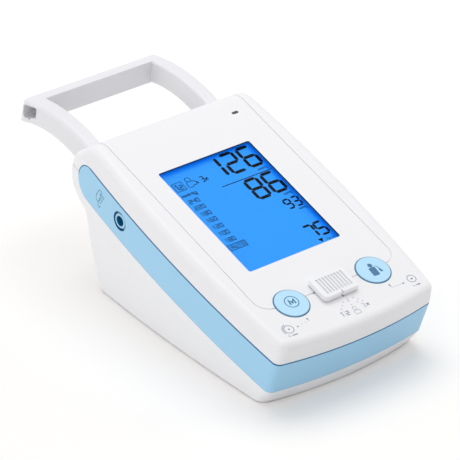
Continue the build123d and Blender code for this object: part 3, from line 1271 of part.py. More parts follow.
# ================================================================ assembly
def build():
    """Make every piece in the desk frame."""
    outer_upper, outer_lower = envelope()
    wall_cavity = sum(envelope(WALL), Part())
    band_core = sum(envelope(BAND_THICKNESS), Part())
    recess_core = sum(envelope(BACKING_OUTER), Part())
    backing_cavity = sum(envelope(BACKING_INNER), Part())
    lip_inner = sum(envelope(TONGUE_OUTER + TONGUE_THICKNESS), Part())
    root_outer = sum(envelope(WALL / 2), Part())
    groove_floor = envelope(GROOVE_DEPTH)[0]
    seam_core = sum(envelope(SEAM_DEPTH), Part())
    outer_lower = round_rear(outer_lower)
    lip = tongue(recess_core, lip_inner, root_outer)
    return {
        "upper_housing": upper_housing(round_crest(outer_upper), wall_cavity, groove_floor),
        "lower_housing": lower_housing(
            outer_lower, wall_cavity, recess_core, backing_cavity, lip, seam_core
        ),
        "side_band": side_band(outer_lower, band_core),
        "carry_handle": handle_piece(),
        "handle_screws": handle_screws(),
        "housing_screws": housing_screws(),
        "rubber_feet": rubber_feet(),
        "display_lens": display_lens(),
        "lcd_bezel": lcd_bezel(),
        "lcd_glass": lcd_glass(),
        "lcd_backlight": lcd_backlight(),
        "lcd_connectors": lcd_connectors(),
        "indicator_lens": indicator_lens(),
        "indicator_led": indicator_led(),
        "main_pcb": main_pcb(),
        "pcb_screws": pcb_screws(),
        "switch_bodies": switch_bodies(),
        "slide_switch": slide_switch(),
        "board_chips": board_chips(),
        "buzzer": buzzer(),
        "pressure_sensor": pressure_sensor(),
        "memory_button": push_button(-1),
        "memory_plunger": plunger(-1),
        "start_button": push_button(1),
        "start_plunger": plunger(1),
        "mode_slider": mode_slider(),
        "slider_retainer": slider_retainer(),
        "mode_lever": mode_lever(),
        "battery_cells": battery_cells(),
        "battery_plates": battery_plates(),
        "battery_springs": battery_springs(),
        "battery_door": battery_door(),
        "pump_motor_can": pump_motor_can(),
        "pump_rotor": pump_rotor(),
        "motor_armature": motor_armature(),
        "pump_head": pump_head(),
        "pump_cradle": pump_cradle(),
        "air_manifold": air_manifold(),
        "valve_coil": valve_coil(),
        "valve_plunger": valve_plunger(),
        "air_hoses": air_hoses(),
        "air_socket": air_socket(),
        "socket_seal": socket_seal(),
        "dc_jack": dc_jack(),
    }


def as_compound(shape):
    """One compound of solids, whatever a piece function returned."""
    shapes = shape if isinstance(shape, list) else [shape]
    solids = [solid for item in shapes for solid in item.solids()]
    return Compound(children=solids)


def export(pieces):
    """Move everything so that the origin is under the middle, and write one file per piece."""
    os.makedirs("parts", exist_ok=True)
    shapes = {name: as_compound(shape) for name, shape in pieces.items()}
    boxes = [shape.bounding_box() for shape in shapes.values()]
    middle_y = (min(box.min.Y for box in boxes) + max(box.max.Y for box in boxes)) / 2
    shift = Pos(0, -middle_y, 0)
    for name, shape in shapes.items():
        moved = shift * shape
        moved.label = name
        export_step(moved, "parts/" + name + ".step")
        size = moved.bounding_box().size
        print(f"{name:18s} solids {len(moved.solids())}  size {size.X:.1f} x {size.Y:.1f} x {size.Z:.1f}")
    print(f"shift in Y {-middle_y:.3f}")


if __name__ == "__main__":
    export(build())
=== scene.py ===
# %% [markdown]
# # Looks of a desktop blood pressure monitor
#
# The packed model is the frame: every solid part comes from it and is never moved. This script gives
# each part a procedural material, adds the printed and displayed marks as thin pieces on the faces
# that carry them, and sets up the studio. Lengths in the helper functions are millimetres, as on the
# part's drawing, and are turned into metres where a mesh or a texture needs them.

# %%
import bpy
from math import cos, pi, radians, sin
from mathutils import Matrix, Vector


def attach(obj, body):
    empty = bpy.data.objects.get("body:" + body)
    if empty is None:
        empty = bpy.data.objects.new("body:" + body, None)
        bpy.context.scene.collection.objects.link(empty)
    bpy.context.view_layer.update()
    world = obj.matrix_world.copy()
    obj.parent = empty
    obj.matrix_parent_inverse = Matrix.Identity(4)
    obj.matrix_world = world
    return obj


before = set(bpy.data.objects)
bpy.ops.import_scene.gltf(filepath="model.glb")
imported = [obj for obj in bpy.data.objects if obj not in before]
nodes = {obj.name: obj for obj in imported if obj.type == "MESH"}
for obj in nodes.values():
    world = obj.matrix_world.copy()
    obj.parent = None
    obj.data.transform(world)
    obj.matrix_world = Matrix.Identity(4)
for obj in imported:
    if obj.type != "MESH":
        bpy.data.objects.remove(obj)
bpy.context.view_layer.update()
scene = bpy.context.scene

# %% [markdown]
# ## The face plane
#
# The display face slopes up from the front crest. Marks are drawn in face coordinates: u to the
# right, v up the slope, w out of the face. The origin is the middle of the front crest.

# %%
MM = 1000.0                 # millimetres in a metre
SLOPE = radians(16.7)
CREST_Y = -133.98           # where the front crest lies in the model
CREST_Z = 44.7
FACE_LENGTH = 186
FACE_V = Vector((0, cos(SLOPE), sin(SLOPE)))
FACE_W = Vector((0, -sin(SLOPE), cos(SLOPE)))
FACE_ORIGIN = Vector((0, CREST_Y, CREST_Z))


def face_point(u, v, w=0.0):
    """A point given on the face, in metres in the model's frame."""
    return (FACE_ORIGIN + Vector((u, 0, 0)) + v * FACE_V + w * FACE_W) / MM


print("top edge of the face:", tuple(round(x, 4) for x in face_point(0, FACE_LENGTH)))

# %% [markdown]
# ## Node helpers
#
# Shader nodes can be joined by hand in the shader editor. Here a small builder adds them, so that
# every material stays readable as text. `new` adds a node, `put` sets a socket to a constant or joins
# it to another node, and the rest are short names for nodes that come up often.


# %%
class Tree:
    """Adds nodes to a material or a node group and joins them."""

    def __init__(self, tree):
        self.tree = tree

    def link(self, start, end):
        self.tree.links.new(start, end)

    def put(self, socket, value):
        """Joins a socket to a node's output, or sets it to a constant."""
        if isinstance(value, bpy.types.NodeSocket):
            self.link(value, socket)
        else:
            socket.default_value = value

    def new(self, kind, inputs=None, **settings):
        node = self.tree.nodes.new(kind)
        for key, value in settings.items():
            setattr(node, key, value)
        for key, value in (inputs or {}).items():
            self.put(node.inputs[key], value)
        return node

    def place(self):
        """Where on the part a point lies, in metres."""
        return self.new("ShaderNodeTexCoord").outputs["Object"]

    def math(self, operation, a, b=0.0):
        return self.new("ShaderNodeMath", {0: a, 1: b}, operation=operation).outputs[0]

    def inverse(self, value):
        """0 where the value is 1, and 1 where it is 0."""
        return self.math("SUBTRACT", 1.0, value)

    def smooth(self, value, low, high):
        """0 below low, 1 above high, with a soft change in between."""
        limits = {"Value": value, "From Min": low, "From Max": high}
        return self.new("ShaderNodeMapRange", limits, interpolation_type="SMOOTHSTEP").outputs["Result"]

    def step(self, value, edge, soft):
        """0 below the edge and 1 above it; soft is half the width of the change."""
        return self.smooth(value, edge - soft, edge + soft)

    def mix(self, factor, a, b):
        """Colour a where the factor is 0, colour b where it is 1."""
        node = self.new("ShaderNodeMix", data_type="RGBA")
        for name, value in (("Factor", factor), ("A", a), ("B", b)):
            self.put(next(s for s in node.inputs if s.name == name and s.enabled), value)
        return next(s for s in node.outputs if s.enabled)


print("builder's short names:", [name for name in vars(Tree) if not name.startswith("_")])

# %% [markdown]
# An effect that several materials share is a node group: it is built once and placed in each of them
# with its own values. Colours are written as they look on a screen, from 0 to 255, and shaders want
# them as linear light, so they are converted in one place.

# %%
NUMBER, DIRECTION = "NodeSocketFloat", "NodeSocketVector"


def group(name, inputs, outputs):
    """A new node group whose inputs are numbers; returns its Tree, its input and its output node."""
    made = bpy.data.node_groups.new(name, "ShaderNodeTree")
    for title, value in inputs.items():
        socket = made.interface.new_socket(title, in_out="INPUT", socket_type=NUMBER)
        socket.default_value = value
    for title, kind in outputs.items():
        made.interface.new_socket(title, in_out="OUTPUT", socket_type=kind)
    tree = Tree(made)
    return tree, tree.new("NodeGroupInput"), tree.new("NodeGroupOutput")


def use_group(tree, name, **inputs):
    """Places a group in a tree; a space in a socket's name is written as _ here."""
    node = tree.new("ShaderNodeGroup", node_tree=bpy.data.node_groups[name])
    for key, value in inputs.items():
        tree.put(node.inputs[key.replace("_", " ")], value)
    return node


def linear(r, g, b, alpha=1.0):
    """Colour given as 0 to 255 on a screen, as the linear values that shaders take."""
    def one(c):
        c = c / 255
        return c / 12.92 if c <= 0.04045 else ((c + 0.055) / 1.055) ** 2.4
    return (one(r), one(g), one(b), alpha)


print("mid grey is", round(linear(128, 128, 128)[0], 3))

# %% [markdown]
# ## Shared node groups
#
# `FaceFrame` gives u, v and w in millimetres at any point of a part, from its own coordinates, so
# that it also holds on a pressed button.

# %%
tree, _, end = group("FaceFrame", {}, {"u": NUMBER, "v": NUMBER, "w": NUMBER})
axes = tree.new("ShaderNodeSeparateXYZ", {"Vector": tree.place()})
x, y, z = (tree.math("MULTIPLY", axes.outputs[axis], MM) for axis in "XYZ")
y = tree.math("SUBTRACT", y, CREST_Y)
z = tree.math("SUBTRACT", z, CREST_Z)
up_slope = tree.math("ADD", tree.math("MULTIPLY", y, cos(SLOPE)), tree.math("MULTIPLY", z, sin(SLOPE)))
off_face = tree.math("SUBTRACT", tree.math("MULTIPLY", z, cos(SLOPE)), tree.math("MULTIPLY", y, sin(SLOPE)))
for title, value in (("u", x), ("v", up_slope), ("w", off_face)):
    tree.link(value, end.inputs[title])
print("face coordinates:", [socket.name for socket in end.inputs if socket.name])

# %% [markdown]
# `MouldedSkin` is the fine spark-eroded texture of a mould, which every moulded part takes over,
# with a slow unevenness in gloss and tone. It is a bump and not geometry, as the pits are far smaller
# than a pixel. `BrushedMetal` draws its grain out along one direction, by squeezing the coordinates.

# %%
SURFACE = {"Normal": DIRECTION, "Roughness": NUMBER, "Tone": NUMBER}

tree, start, end = group("MouldedSkin", {"Grain size": 2200.0, "Depth": 0.06, "Roughness": 0.45}, SURFACE)
place = tree.place()
size = start.outputs["Grain size"]
grain = tree.new("ShaderNodeTexNoise", {"Vector": place, "Scale": size, "Detail": 3.0, "Roughness": 0.6})
pits = tree.new("ShaderNodeTexVoronoi", {"Vector": place, "Scale": size})
relief = tree.math("ADD", grain.outputs["Fac"], tree.math("MULTIPLY", pits.outputs["Distance"], 0.5))
bump = tree.new("ShaderNodeBump", {"Strength": start.outputs["Depth"], "Distance": 0.0001, "Height": relief})
slow = tree.new("ShaderNodeTexNoise", {"Vector": place, "Scale": 28.0, "Detail": 2.0})
spread = tree.math("MULTIPLY", tree.math("SUBTRACT", slow.outputs["Fac"], 0.5), 0.12)
tree.link(bump.outputs["Normal"], end.inputs["Normal"])
tree.link(tree.math("ADD", start.outputs["Roughness"], spread), end.inputs["Roughness"])
tree.link(tree.math("ADD", 1.0, tree.math("MULTIPLY", spread, 0.10)), end.inputs["Tone"])

tree, start, end = group("BrushedMetal", {"Roughness": 0.35, "Fineness": 900.0}, SURFACE)
drawn = tree.new("ShaderNodeMapping", {"Vector": tree.place(), "Scale": (1.0, 0.06, 1.0)}).outputs["Vector"]
lines = tree.new("ShaderNodeTexNoise", {"Vector": drawn, "Scale": start.outputs["Fineness"], "Detail": 4.0})
lines = lines.outputs["Fac"]
bump = tree.new("ShaderNodeBump", {"Strength": 0.15, "Distance": 0.00005, "Height": lines})
tree.link(bump.outputs["Normal"], end.inputs["Normal"])
roughness = tree.math("ADD", start.outputs["Roughness"], tree.math("MULTIPLY", lines, 0.15))
tree.link(roughness, end.inputs["Roughness"])
tree.link(tree.math("ADD", 0.85, tree.math("MULTIPLY", lines, 0.3)), end.inputs["Tone"])
print("node groups:", [g.name for g in bpy.data.node_groups])

# %% [markdown]
# ## Materials
#
# Each material starts from `plastic` or `metal`. Its colour is either one colour, or a function that
# adds the nodes for a colour that depends on the place on the part, such as the dark wall of the
# display window. Such a place is a mask made from face coordinates, so no picture is needed.


# %%
def material(name):
    """A new material with a shader on its output; returns it, its Tree and its shader."""
    made = bpy.data.materials.new(name)
    made.use_nodes = True
    made.node_tree.nodes.clear()
    tree = Tree(made.node_tree)
    shader = tree.new("ShaderNodeBsdfPrincipled")
    output = tree.new("ShaderNodeOutputMaterial")
    tree.link(shader.outputs["BSDF"], output.inputs["Surface"])
    return made, tree, shader


def toned(tree, colour, tone):
    """The colour, made a little lighter or darker by a tone value near 1."""
    node = tree.new("ShaderNodeVectorMath", operation="SCALE")
    tree.put(node.inputs[0], colour if isinstance(colour, bpy.types.NodeSocket) else colour[:3])
    tree.link(tone, node.inputs["Scale"])
    return node.outputs[0]


def moulded(name, roughness=0.45, depth=0.06, grain=2200.0):
    """A material with a moulded surface and no colour yet, its Tree, its shader and its tone."""
    made, tree, shader = material(name)
    skin = use_group(tree, "MouldedSkin", Grain_size=grain, Depth=depth, Roughness=roughness)
    tree.link(skin.outputs["Normal"], shader.inputs["Normal"])
    tree.link(skin.outputs["Roughness"], shader.inputs["Roughness"])
    return made, tree, shader, skin.outputs["Tone"]


def plastic(name, colour, roughness=0.45, depth=0.06, grain=2200.0, **sockets):
    """Moulded plastic; other sockets of its shader are given by name, with _ for a space."""
    made, tree, shader, tone = moulded(name, roughness, depth, grain)
    painted = colour(tree) if callable(colour) else colour
    tree.link(toned(tree, painted, tone), shader.inputs["Base Color"])
    shader.inputs["Coat Roughness"].default_value = 0.15
    for key, value in sockets.items():
        shader.inputs[key.replace("_", " ")].default_value = value
    return made


def metal(name, colour, roughness=0.3, fineness=900.0):
    """Drawn or rolled metal, with fine lines along one direction."""
    made, tree, shader = material(name)
    drawn = use_group(tree, "BrushedMetal", Roughness=roughness, Fineness=fineness)
    tree.link(drawn.outputs["Normal"], shader.inputs["Normal"])
    tree.link(drawn.outputs["Roughness"], shader.inputs["Roughness"])
    tree.link(toned(tree, colour, drawn.outputs["Tone"]), shader.inputs["Base Color"])
    shader.inputs["Metallic"].default_value = 1.0
    return made


print("a surface group gives:", list(SURFACE))

# %% [markdown]
# The upper housing is white all over, except for the wall of the display window, which is painted black as
# the shade on that wall. The window's middle is 3 mm left of the centre line, and its walls are the points
# between the face and the lens that lie within its outline. The edge of the hole round each button is painted
# a little darker, in blue, as the shade of the gap there.

# %%
WHITE = linear(236, 236, 239)
WALL_SHADE_BLACK = linear(14, 16, 24)
HOLE_SHADE = linear(120, 152, 176)
WINDOW_MIDDLE = (-3.0, 107.2)       # u and v
WINDOW_HALF = (33.5, 44.5)
WALL_REACH = 0.2                    # the wall's points lie this far outside the window at most
WALL_TOP = -0.03                    # w at which the black wall starts
BUTTON = (30.0, 31.8)               # u and v of a button's axis, on either side
BUTTON_REACH = 10.4
HOLE_RIM = 0.55                     # width of the shaded edge outside a button
HOLE_DEPTH = -0.6


def reach_from(tree, first, second, middle):
    """Distance of a place from a middle, both given by two of the face coordinates."""
    a = tree.math("SUBTRACT", first, middle[0])
    b = tree.math("SUBTRACT", second, middle[1])
    return tree.math("SQRT", tree.math("ADD", tree.math("MULTIPLY", a, a), tree.math("MULTIPLY", b, b)))


def housing_colour(tree):
    """White, with painted black shade on the window's wall and painted shade round each button."""
    at = use_group(tree, "FaceFrame")
    du = tree.math("ABSOLUTE", tree.math("SUBTRACT", at.outputs["u"], WINDOW_MIDDLE[0]))
    dv = tree.math("ABSOLUTE", tree.math("SUBTRACT", at.outputs["v"], WINDOW_MIDDLE[1]))
    across = tree.math("LESS_THAN", du, WINDOW_HALF[0] + WALL_REACH)
    along = tree.math("LESS_THAN", dv, WINDOW_HALF[1] + WALL_REACH)
    below = tree.math("LESS_THAN", at.outputs["w"], WALL_TOP)
    wall = tree.math("MULTIPLY", tree.math("MULTIPLY", across, along), below)
    reach = reach_from(tree, tree.math("ABSOLUTE", at.outputs["u"]), at.outputs["v"], BUTTON)
    on_face = tree.math("GREATER_THAN", at.outputs["w"], HOLE_DEPTH)
    rim = tree.math("MULTIPLY", tree.inverse(tree.step(reach, BUTTON_REACH + HOLE_RIM, 0.1)), on_face)
    # Painted shade: black on the window's wall, blue-grey round the hole of each button.
    return tree.mix(rim, tree.mix(wall, WHITE, WALL_SHADE_BLACK), HOLE_SHADE)


housing = plastic("white_housing", housing_colour, roughness=0.42, depth=0.05)
lower = plastic("white_base", linear(238, 239, 242), roughness=0.42, depth=0.05)
grip = plastic("white_handle", linear(228, 228, 232), roughness=0.38, depth=0.03)
door = plastic("white_door", linear(234, 235, 238), roughness=0.45, depth=0.07)
print("white materials:", [m.name for m in (housing, lower, grip, door)])

# %% [markdown]
# The slider's grooves and its foot, where it rests on the face, are painted a little darker than its
# ribs: painted shade in the grooves and a painted shadow line at the foot. The ribs repeat evenly, so a
# cosine of u finds the grooves.

# %%
RIB_PITCH = 2.2
RIB_HALF = 5.95             # half the length of a rib, along v
RIB_TOP = 3.6               # w below which a groove's floor lies
FOOT_TOP = 0.75
SLIDER_V = 31.8
SLIDER_WHITE = linear(238, 238, 240)
SLIDER_SHADE = linear(218, 219, 224)


def slider_colour(tree):
    """White, with painted shade in the grooves and a painted shadow line at the foot."""
    at = use_group(tree, "FaceFrame")
    wave = tree.math("COSINE", tree.math("MULTIPLY", at.outputs["u"], 2 * pi / RIB_PITCH))
    dv = tree.math("ABSOLUTE", tree.math("SUBTRACT", at.outputs["v"], SLIDER_V))
    groove = tree.math("MULTIPLY", tree.step(wave, -0.15, 0.25), tree.math("LESS_THAN", dv, RIB_HALF))
    groove = tree.math("MULTIPLY", groove, tree.math("LESS_THAN", at.outputs["w"], RIB_TOP))
    foot = tree.inverse(tree.step(at.outputs["w"], FOOT_TOP, 0.15))
    # Painted shade in the grooves, and a painted shadow line along the foot.
    return tree.mix(tree.math("MAXIMUM", groove, foot), SLIDER_WHITE, SLIDER_SHADE)


slider_white = plastic("white_slider", slider_colour, roughness=0.36, depth=0.03)
print("nodes in the slider's material:", len(slider_white.node_tree.nodes))

# %% [markdown]
# The band is light blue. Along its top edge and round its end a narrow strip is painted deeper blue as the
# shadow of the housing, a fainter painted shade runs along its lower edge, and the walls of the round recess
# of the air socket are painted deep blue as shade.

# %%
BAND_BLUE = linear(158, 208, 239)
SEAM_SHADE_BLUE = linear(16, 104, 156)
SEAM_W = -14.55                     # the shaded strips start here, near the top and the lower edge
FOOT_W = -36.6
FOOT_SHADE = 0.45
BAND_END = (182.35, -25.15)         # v and w of the middle of the band's round end; next, its radius
BAND_END_REACH = 11.85
TIP_WIDTH = 0.75
SOCKET = (148.4, -24.4)             # v and w of the socket's axis
RECESS_REACH = 6.08


def band_colour(tree):
    """Light blue, with painted shade in deeper blue along its edges and in the socket's recess."""
    at = use_group(tree, "FaceFrame")
    v, w = at.outputs["v"], at.outputs["w"]
    seam = tree.step(w, SEAM_W, 0.12)
    foot = tree.math("MULTIPLY", tree.inverse(tree.step(w, FOOT_W, 0.12)), FOOT_SHADE)
    tip = tree.step(reach_from(tree, v, w, BAND_END), BAND_END_REACH - TIP_WIDTH, 0.12)
    tip = tree.math("MULTIPLY", tip, tree.math("GREATER_THAN", v, BAND_END[0]))
    tip = tree.math("MULTIPLY", tip, tree.step(w, BAND_END[1] - 1.0, 2.0))
    recess = tree.inverse(tree.step(reach_from(tree, v, w, SOCKET), RECESS_REACH, 0.06))
    on_left = tree.math("LESS_THAN", at.outputs["u"], 0.0)
    recess = tree.math("MULTIPLY", recess, on_left)
    # All of these are painted shade: the housing's shadow at the top and round the end, the gap below, the
    # recess.
    dark = tree.math("MAXIMUM", tree.math("MAXIMUM", seam, tip), tree.math("MAXIMUM", recess, foot))
    return tree.mix(dark, BAND_BLUE, SEAM_SHADE_BLUE)


band = plastic("blue_band", band_colour, roughness=0.40, depth=0.04)
print("nodes in the band's material:", len(band.node_tree.nodes))

# %% [markdown]
# The air socket and the buttons are round, so their painted shade lies in rings: the distance from the
# axis picks the bore, the pad and the side wall. The deep blue of the bore and the side wall, and the deeper
# edge of each button, are painted shade.

# %%
SOCKET_BLUE = linear(165, 208, 235)
BORE_SHADE_BLUE = linear(14, 118, 165)
SIDE_SHADE_BLUE = linear(22, 148, 200)
BORE_REACH = 3.3
PAD_REACH = 4.72
BUTTON_BLUE = linear(178, 222, 248)
BUTTON_EDGE_SHADE = linear(104, 160, 196)
EDGE_WIDTH = 0.35


def socket_colour(tree):
    """Light blue on the pad, with painted shade in deep blue in the bore and on the side wall."""
    at = use_group(tree, "FaceFrame")
    reach = reach_from(tree, at.outputs["v"], at.outputs["w"], SOCKET)
    bore = tree.inverse(tree.step(reach, BORE_REACH, 0.1))
    side = tree.step(reach, PAD_REACH, 0.05)
    return tree.mix(side, tree.mix(bore, SOCKET_BLUE, BORE_SHADE_BLUE), SIDE_SHADE_BLUE)


def button_colour(tree):
    """Light blue, with painted shade in a deeper blue on its rounded edge."""
    at = use_group(tree, "FaceFrame")
    reach = reach_from(tree, tree.math("ABSOLUTE", at.outputs["u"]), at.outputs["v"], BUTTON)
    return tree.mix(tree.step(reach, BUTTON_REACH - EDGE_WIDTH, 0.12), BUTTON_BLUE, BUTTON_EDGE_SHADE)


socket_blue = plastic("socket_blue", socket_colour, roughness=0.35, depth=0.02)
button_blue = plastic("button_blue", button_colour, roughness=0.34, depth=0.02, Coat_Weight=0.15)
print("blue materials:", [m.name for m in (band, socket_blue, button_blue)])

# %% [markdown]
# The display glows evenly blue. Towards its top and right edges it gets deeper: that is painted shade of
# the window's rim. Half of that blue is also its own colour, so that it still answers to the light of the
# room.
# The bezel in front of it glows in the same blue near its opening: that glow is painted light.

# %%
LCD_BLUE = linear(46, 154, 254)
LCD_RIM_SHADE = linear(12, 128, 252)
SHARP_SHARE, WIDE_SHARE = 0.88, 0.12    # how much of the falloff is narrow, and how much wide
FOOT_GLOW = 0.72                        # what is left of the light blue at the left and lower edges


def lcd_colour(tree):
    """Colour of the lit display at a place on the face, with painted shade of the rim at its top and right
    edges.
    """
    at = use_group(tree, "FaceFrame")
    right = tree.math("SUBTRACT", WINDOW_MIDDLE[0] + WINDOW_HALF[0], at.outputs["u"])
    top = tree.math("SUBTRACT", WINDOW_MIDDLE[1] + WINDOW_HALF[1], at.outputs["v"])
    bottom = tree.math("SUBTRACT", at.outputs["v"], WINDOW_MIDDLE[1] - WINDOW_HALF[1])
    left = tree.math("ADD", at.outputs["u"], WINDOW_HALF[0] - WINDOW_MIDDLE[0])
    # Painted shade of the window's rim, deepest at the top and right edges.
    near = tree.math("MINIMUM", right, top)
    sharp = tree.math("MULTIPLY", tree.smooth(near, 0.2, 3.0), SHARP_SHARE)
    wide = tree.math("MULTIPLY", tree.smooth(near, 1.5, 8.0), WIDE_SHARE)
    foot = tree.step(tree.math("MINIMUM", left, bottom), 0.9, 0.8)
    foot = tree.math("ADD", FOOT_GLOW, tree.math("MULTIPLY", foot, 1 - FOOT_GLOW))
    return tree.mix(tree.math("MULTIPLY", tree.math("ADD", sharp, wide), foot), LCD_RIM_SHADE, LCD_BLUE)


def glowing(name, strength):
    """A surface glowing in the display's blue, with the faint unevenness of its cells; on the bezel that glow
    is painted light.
    """
    made, tree, shader = material(name)
    cells = tree.new("ShaderNodeTexNoise", {"Vector": tree.place(), "Scale": 1500.0})
    uneven = tree.math("ADD", 0.985, tree.math("MULTIPLY", cells.outputs["Fac"], 0.03))
    lit = toned(tree, lcd_colour(tree), uneven)
    half = tree.new("ShaderNodeVectorMath", {0: lit, 1: (0.5, 0.5, 0.5)}, operation="MULTIPLY")
    tree.link(lit, shader.inputs["Emission Color"])
    tree.link(half.outputs[0], shader.inputs["Base Color"])
    shader.inputs["Emission Strength"].default_value = strength
    shader.inputs["Roughness"].default_value = 0.5
    shader.inputs["Specular IOR Level"].default_value = 0.1
    return made


lcd = glowing("lcd_blue", 0.62)
# The bezel is no lamp: its glow is painted light in the display's blue.
bezel_glow = glowing("bezel_in_blue_light", 0.3)
print("lit materials:", lcd.name, bezel_glow.name)

# %% [markdown]
# The lens is a clear sheet. It could be made as refracting glass, but a flat thin sheet bends
# nothing that shows, so it is nearly all transparent instead and keeps only its gloss. The signs of
# the display lie behind it; the small ones are thin and let some of the blue through.

# %%
lens, tree, shader = material("clear_lens")
wipe = tree.new("ShaderNodeTexNoise", {"Vector": tree.place(), "Scale": 60.0, "Detail": 5.0})
smear = tree.math("ADD", 0.05, tree.math("MULTIPLY", wipe.outputs["Fac"], 0.1))
tree.link(smear, shader.inputs["Roughness"])
shader.inputs["Base Color"].default_value = (0, 0, 0, 1)
shader.inputs["Alpha"].default_value = 0.03

dull = {"roughness": 0.6, "depth": 0.0, "Specular_IOR_Level": 0.1}
segment = plastic("display_segment", linear(3, 4, 10), **dull)
glow = {"Emission_Color": linear(10, 48, 105), "Emission_Strength": 0.5}
faint = plastic("display_small_print", linear(8, 34, 80), **dull, **glow)
print("behind the lens:", segment.name, faint.name)

# %% [markdown]
# Inks, and the materials of the parts inside and below. Rubber has a coarser and deeper skin than
# plastic, and the soft hose lets a little light into itself.

# %%
ink = plastic("grey_ink", linear(120, 128, 146), roughness=0.55, depth=0.02)
pale_ink = plastic("pale_grey_ink", linear(176, 182, 196), roughness=0.55, depth=0.02)
button_ink = plastic("blue_ink", linear(55, 112, 152), roughness=0.5, depth=0.02)
band_ink = plastic("band_ink", linear(72, 128, 160), roughness=0.5, depth=0.02)

black_plastic = plastic("black_plastic", linear(30, 31, 34), roughness=0.5, depth=0.08)
grey_plastic = plastic("grey_plastic", linear(70, 73, 78), roughness=0.5, depth=0.08)
pale_plastic = plastic("pale_grey_plastic", linear(190, 193, 197), roughness=0.5, depth=0.08)
rubber = plastic("dark_rubber", linear(52, 52, 54), roughness=0.8, depth=0.25, grain=1500.0)
silicone = plastic("grey_silicone", linear(120, 122, 125), roughness=0.7, depth=0.1)
soft = {"Subsurface_Weight": 0.4, "Subsurface_Radius": (0.002, 0.002, 0.002), "Subsurface_Scale": 1.0}
hose = plastic("soft_hose", linear(214, 218, 220), roughness=0.4, depth=0.04, **soft)
smoked = plastic("smoked_indicator", linear(38, 40, 48), roughness=0.2, depth=0.01, Coat_Weight=0.5)
lamp = plastic("clear_lamp", linear(232, 230, 214), roughness=0.2, depth=0.01, Coat_Weight=0.5)
backlight = plastic("light_guide", linear(214, 226, 244), roughness=0.25, depth=0.02)
wrap = {"roughness": 0.3, "depth": 0.03, "Coat_Weight": 0.3, "Metallic": 0.5}
cell = plastic("cell_wrap", linear(60, 66, 74), **wrap)
steel = metal("plated_steel", linear(186, 186, 190))
nickel = metal("nickel_strip", linear(206, 202, 190), roughness=0.25)
iron = metal("laminated_iron", linear(96, 92, 88), roughness=0.5, fineness=2500.0)
copper = metal("lacquered_wire", linear(150, 80, 38), roughness=0.3, fineness=3500.0)

board, tree, shader, _ = moulded("circuit_board", roughness=0.3, depth=0.05)
fields = {"Color1": linear(22, 92, 48), "Color2": linear(26, 98, 52), "Mortar": linear(52, 128, 74)}
tracks = tree.new(
    "ShaderNodeTexBrick", {"Vector": tree.place(), "Scale": 260.0, "Mortar Size": 0.03, **fields}
)
tree.link(tracks.outputs["Color"], shader.inputs["Base Color"])
shader.inputs["Coat Roughness"].default_value = 0.15
print("materials:", len(bpy.data.materials))

# %% [markdown]
# ## Materials on the parts
#
# Every part of the model gets one finish. The table is read from the finish to the parts, as most
# finishes serve several of them.

# %%
FINISH = {
    housing: ["upper_housing"],
    lower: ["lower_housing"],
    grip: ["carry_handle"],
    door: ["battery_door"],
    band: ["side_band"],
    slider_white: ["mode_slider", "slider_retainer"],
    button_blue: ["memory_button", "start_button"],
    socket_blue: ["air_socket"],
    lens: ["display_lens"],
    lcd: ["lcd_glass"],
    bezel_glow: ["lcd_bezel"],
    backlight: ["lcd_backlight"],
    smoked: ["indicator_lens"],
    lamp: ["indicator_led"],
    board: ["main_pcb"],
    steel: ["handle_screws", "housing_screws", "pcb_screws", "pump_motor_can", "pump_rotor", "valve_plunger"],
    nickel: ["battery_plates", "battery_springs"],
    iron: ["motor_armature"],
    copper: ["valve_coil"],
    cell: ["battery_cells"],
    rubber: ["rubber_feet"],
    silicone: ["lcd_connectors", "pump_cradle", "socket_seal"],
    hose: ["air_hoses"],
    grey_plastic: ["pump_head"],
    pale_plastic: ["air_manifold"],
    black_plastic: [
        "switch_bodies", "slide_switch", "board_chips", "buzzer", "pressure_sensor",
        "memory_plunger", "start_plunger", "mode_lever", "dc_jack",
    ],
}
for finish, names in FINISH.items():
    for name in names:
        nodes[name].data.materials.clear()
        nodes[name].data.materials.append(finish)
bare = sorted(set(nodes) - {n for names in FINISH.values() for n in names})
print("parts without a finish:", bare)

# %% [markdown]
# ## Drawing tools for marks
#
# Printed and displayed signs are far thinner than a hair is wide, so they are flat meshes in face
# coordinates. An image could be laid on the face instead, but meshes stay sharp at any distance.
# `ribbon` gives a line its width, with mitred corners, and `ellipse` makes round shapes.


# %%
def ribbon(points, width, closed=False):
    """Quads along a line of points, as a list of (u, v) polygons."""
    points = [Vector(p) for p in points]
    count = len(points)
    sides = []
    for i, here in enumerate(points):
        before = points[i - 1] if closed or i else None
        after = points[(i + 1) % count] if closed or i < count - 1 else None
        ahead = (after - here).normalized() if after is not None else (here - before).normalized()
        behind = (here - before).normalized() if before is not None else ahead
        normal_a = Vector((-ahead.y, ahead.x))
        normal_b = Vector((-behind.y, behind.x))
        mitre = (normal_a + normal_b).normalized()
        stretch = min(1 / max(mitre.dot(normal_a), 0.4), 1.8)
        sides.append((here + mitre * width / 2 * stretch, here - mitre * width / 2 * stretch))
    quads = []
    for i in range(count if closed else count - 1):
        a, b = sides[i], sides[(i + 1) % count]
        quads.append([a[1], b[1], b[0], a[0]])
    return quads


def ellipse(middle, radii, count=32, from_angle=0.0, to_angle=360.0):
    """Points round an ellipse, or along a part of it."""
    steps = count if to_angle - from_angle == 360.0 else count - 1
    angles = [radians(from_angle + (to_angle - from_angle) * i / steps) for i in range(count)]
    return [(middle[0] + radii[0] * cos(a), middle[1] + radii[1] * sin(a)) for a in angles]


print("quads in a ring of 20 points:", len(ribbon(ellipse((0, 0), (1, 1), 20), 0.4, closed=True)))

# %% [markdown]
# A digit of such a display is made of seven bars with pointed ends, of which each sign lights some.
# The bars a to g are named as makers of displays name them.

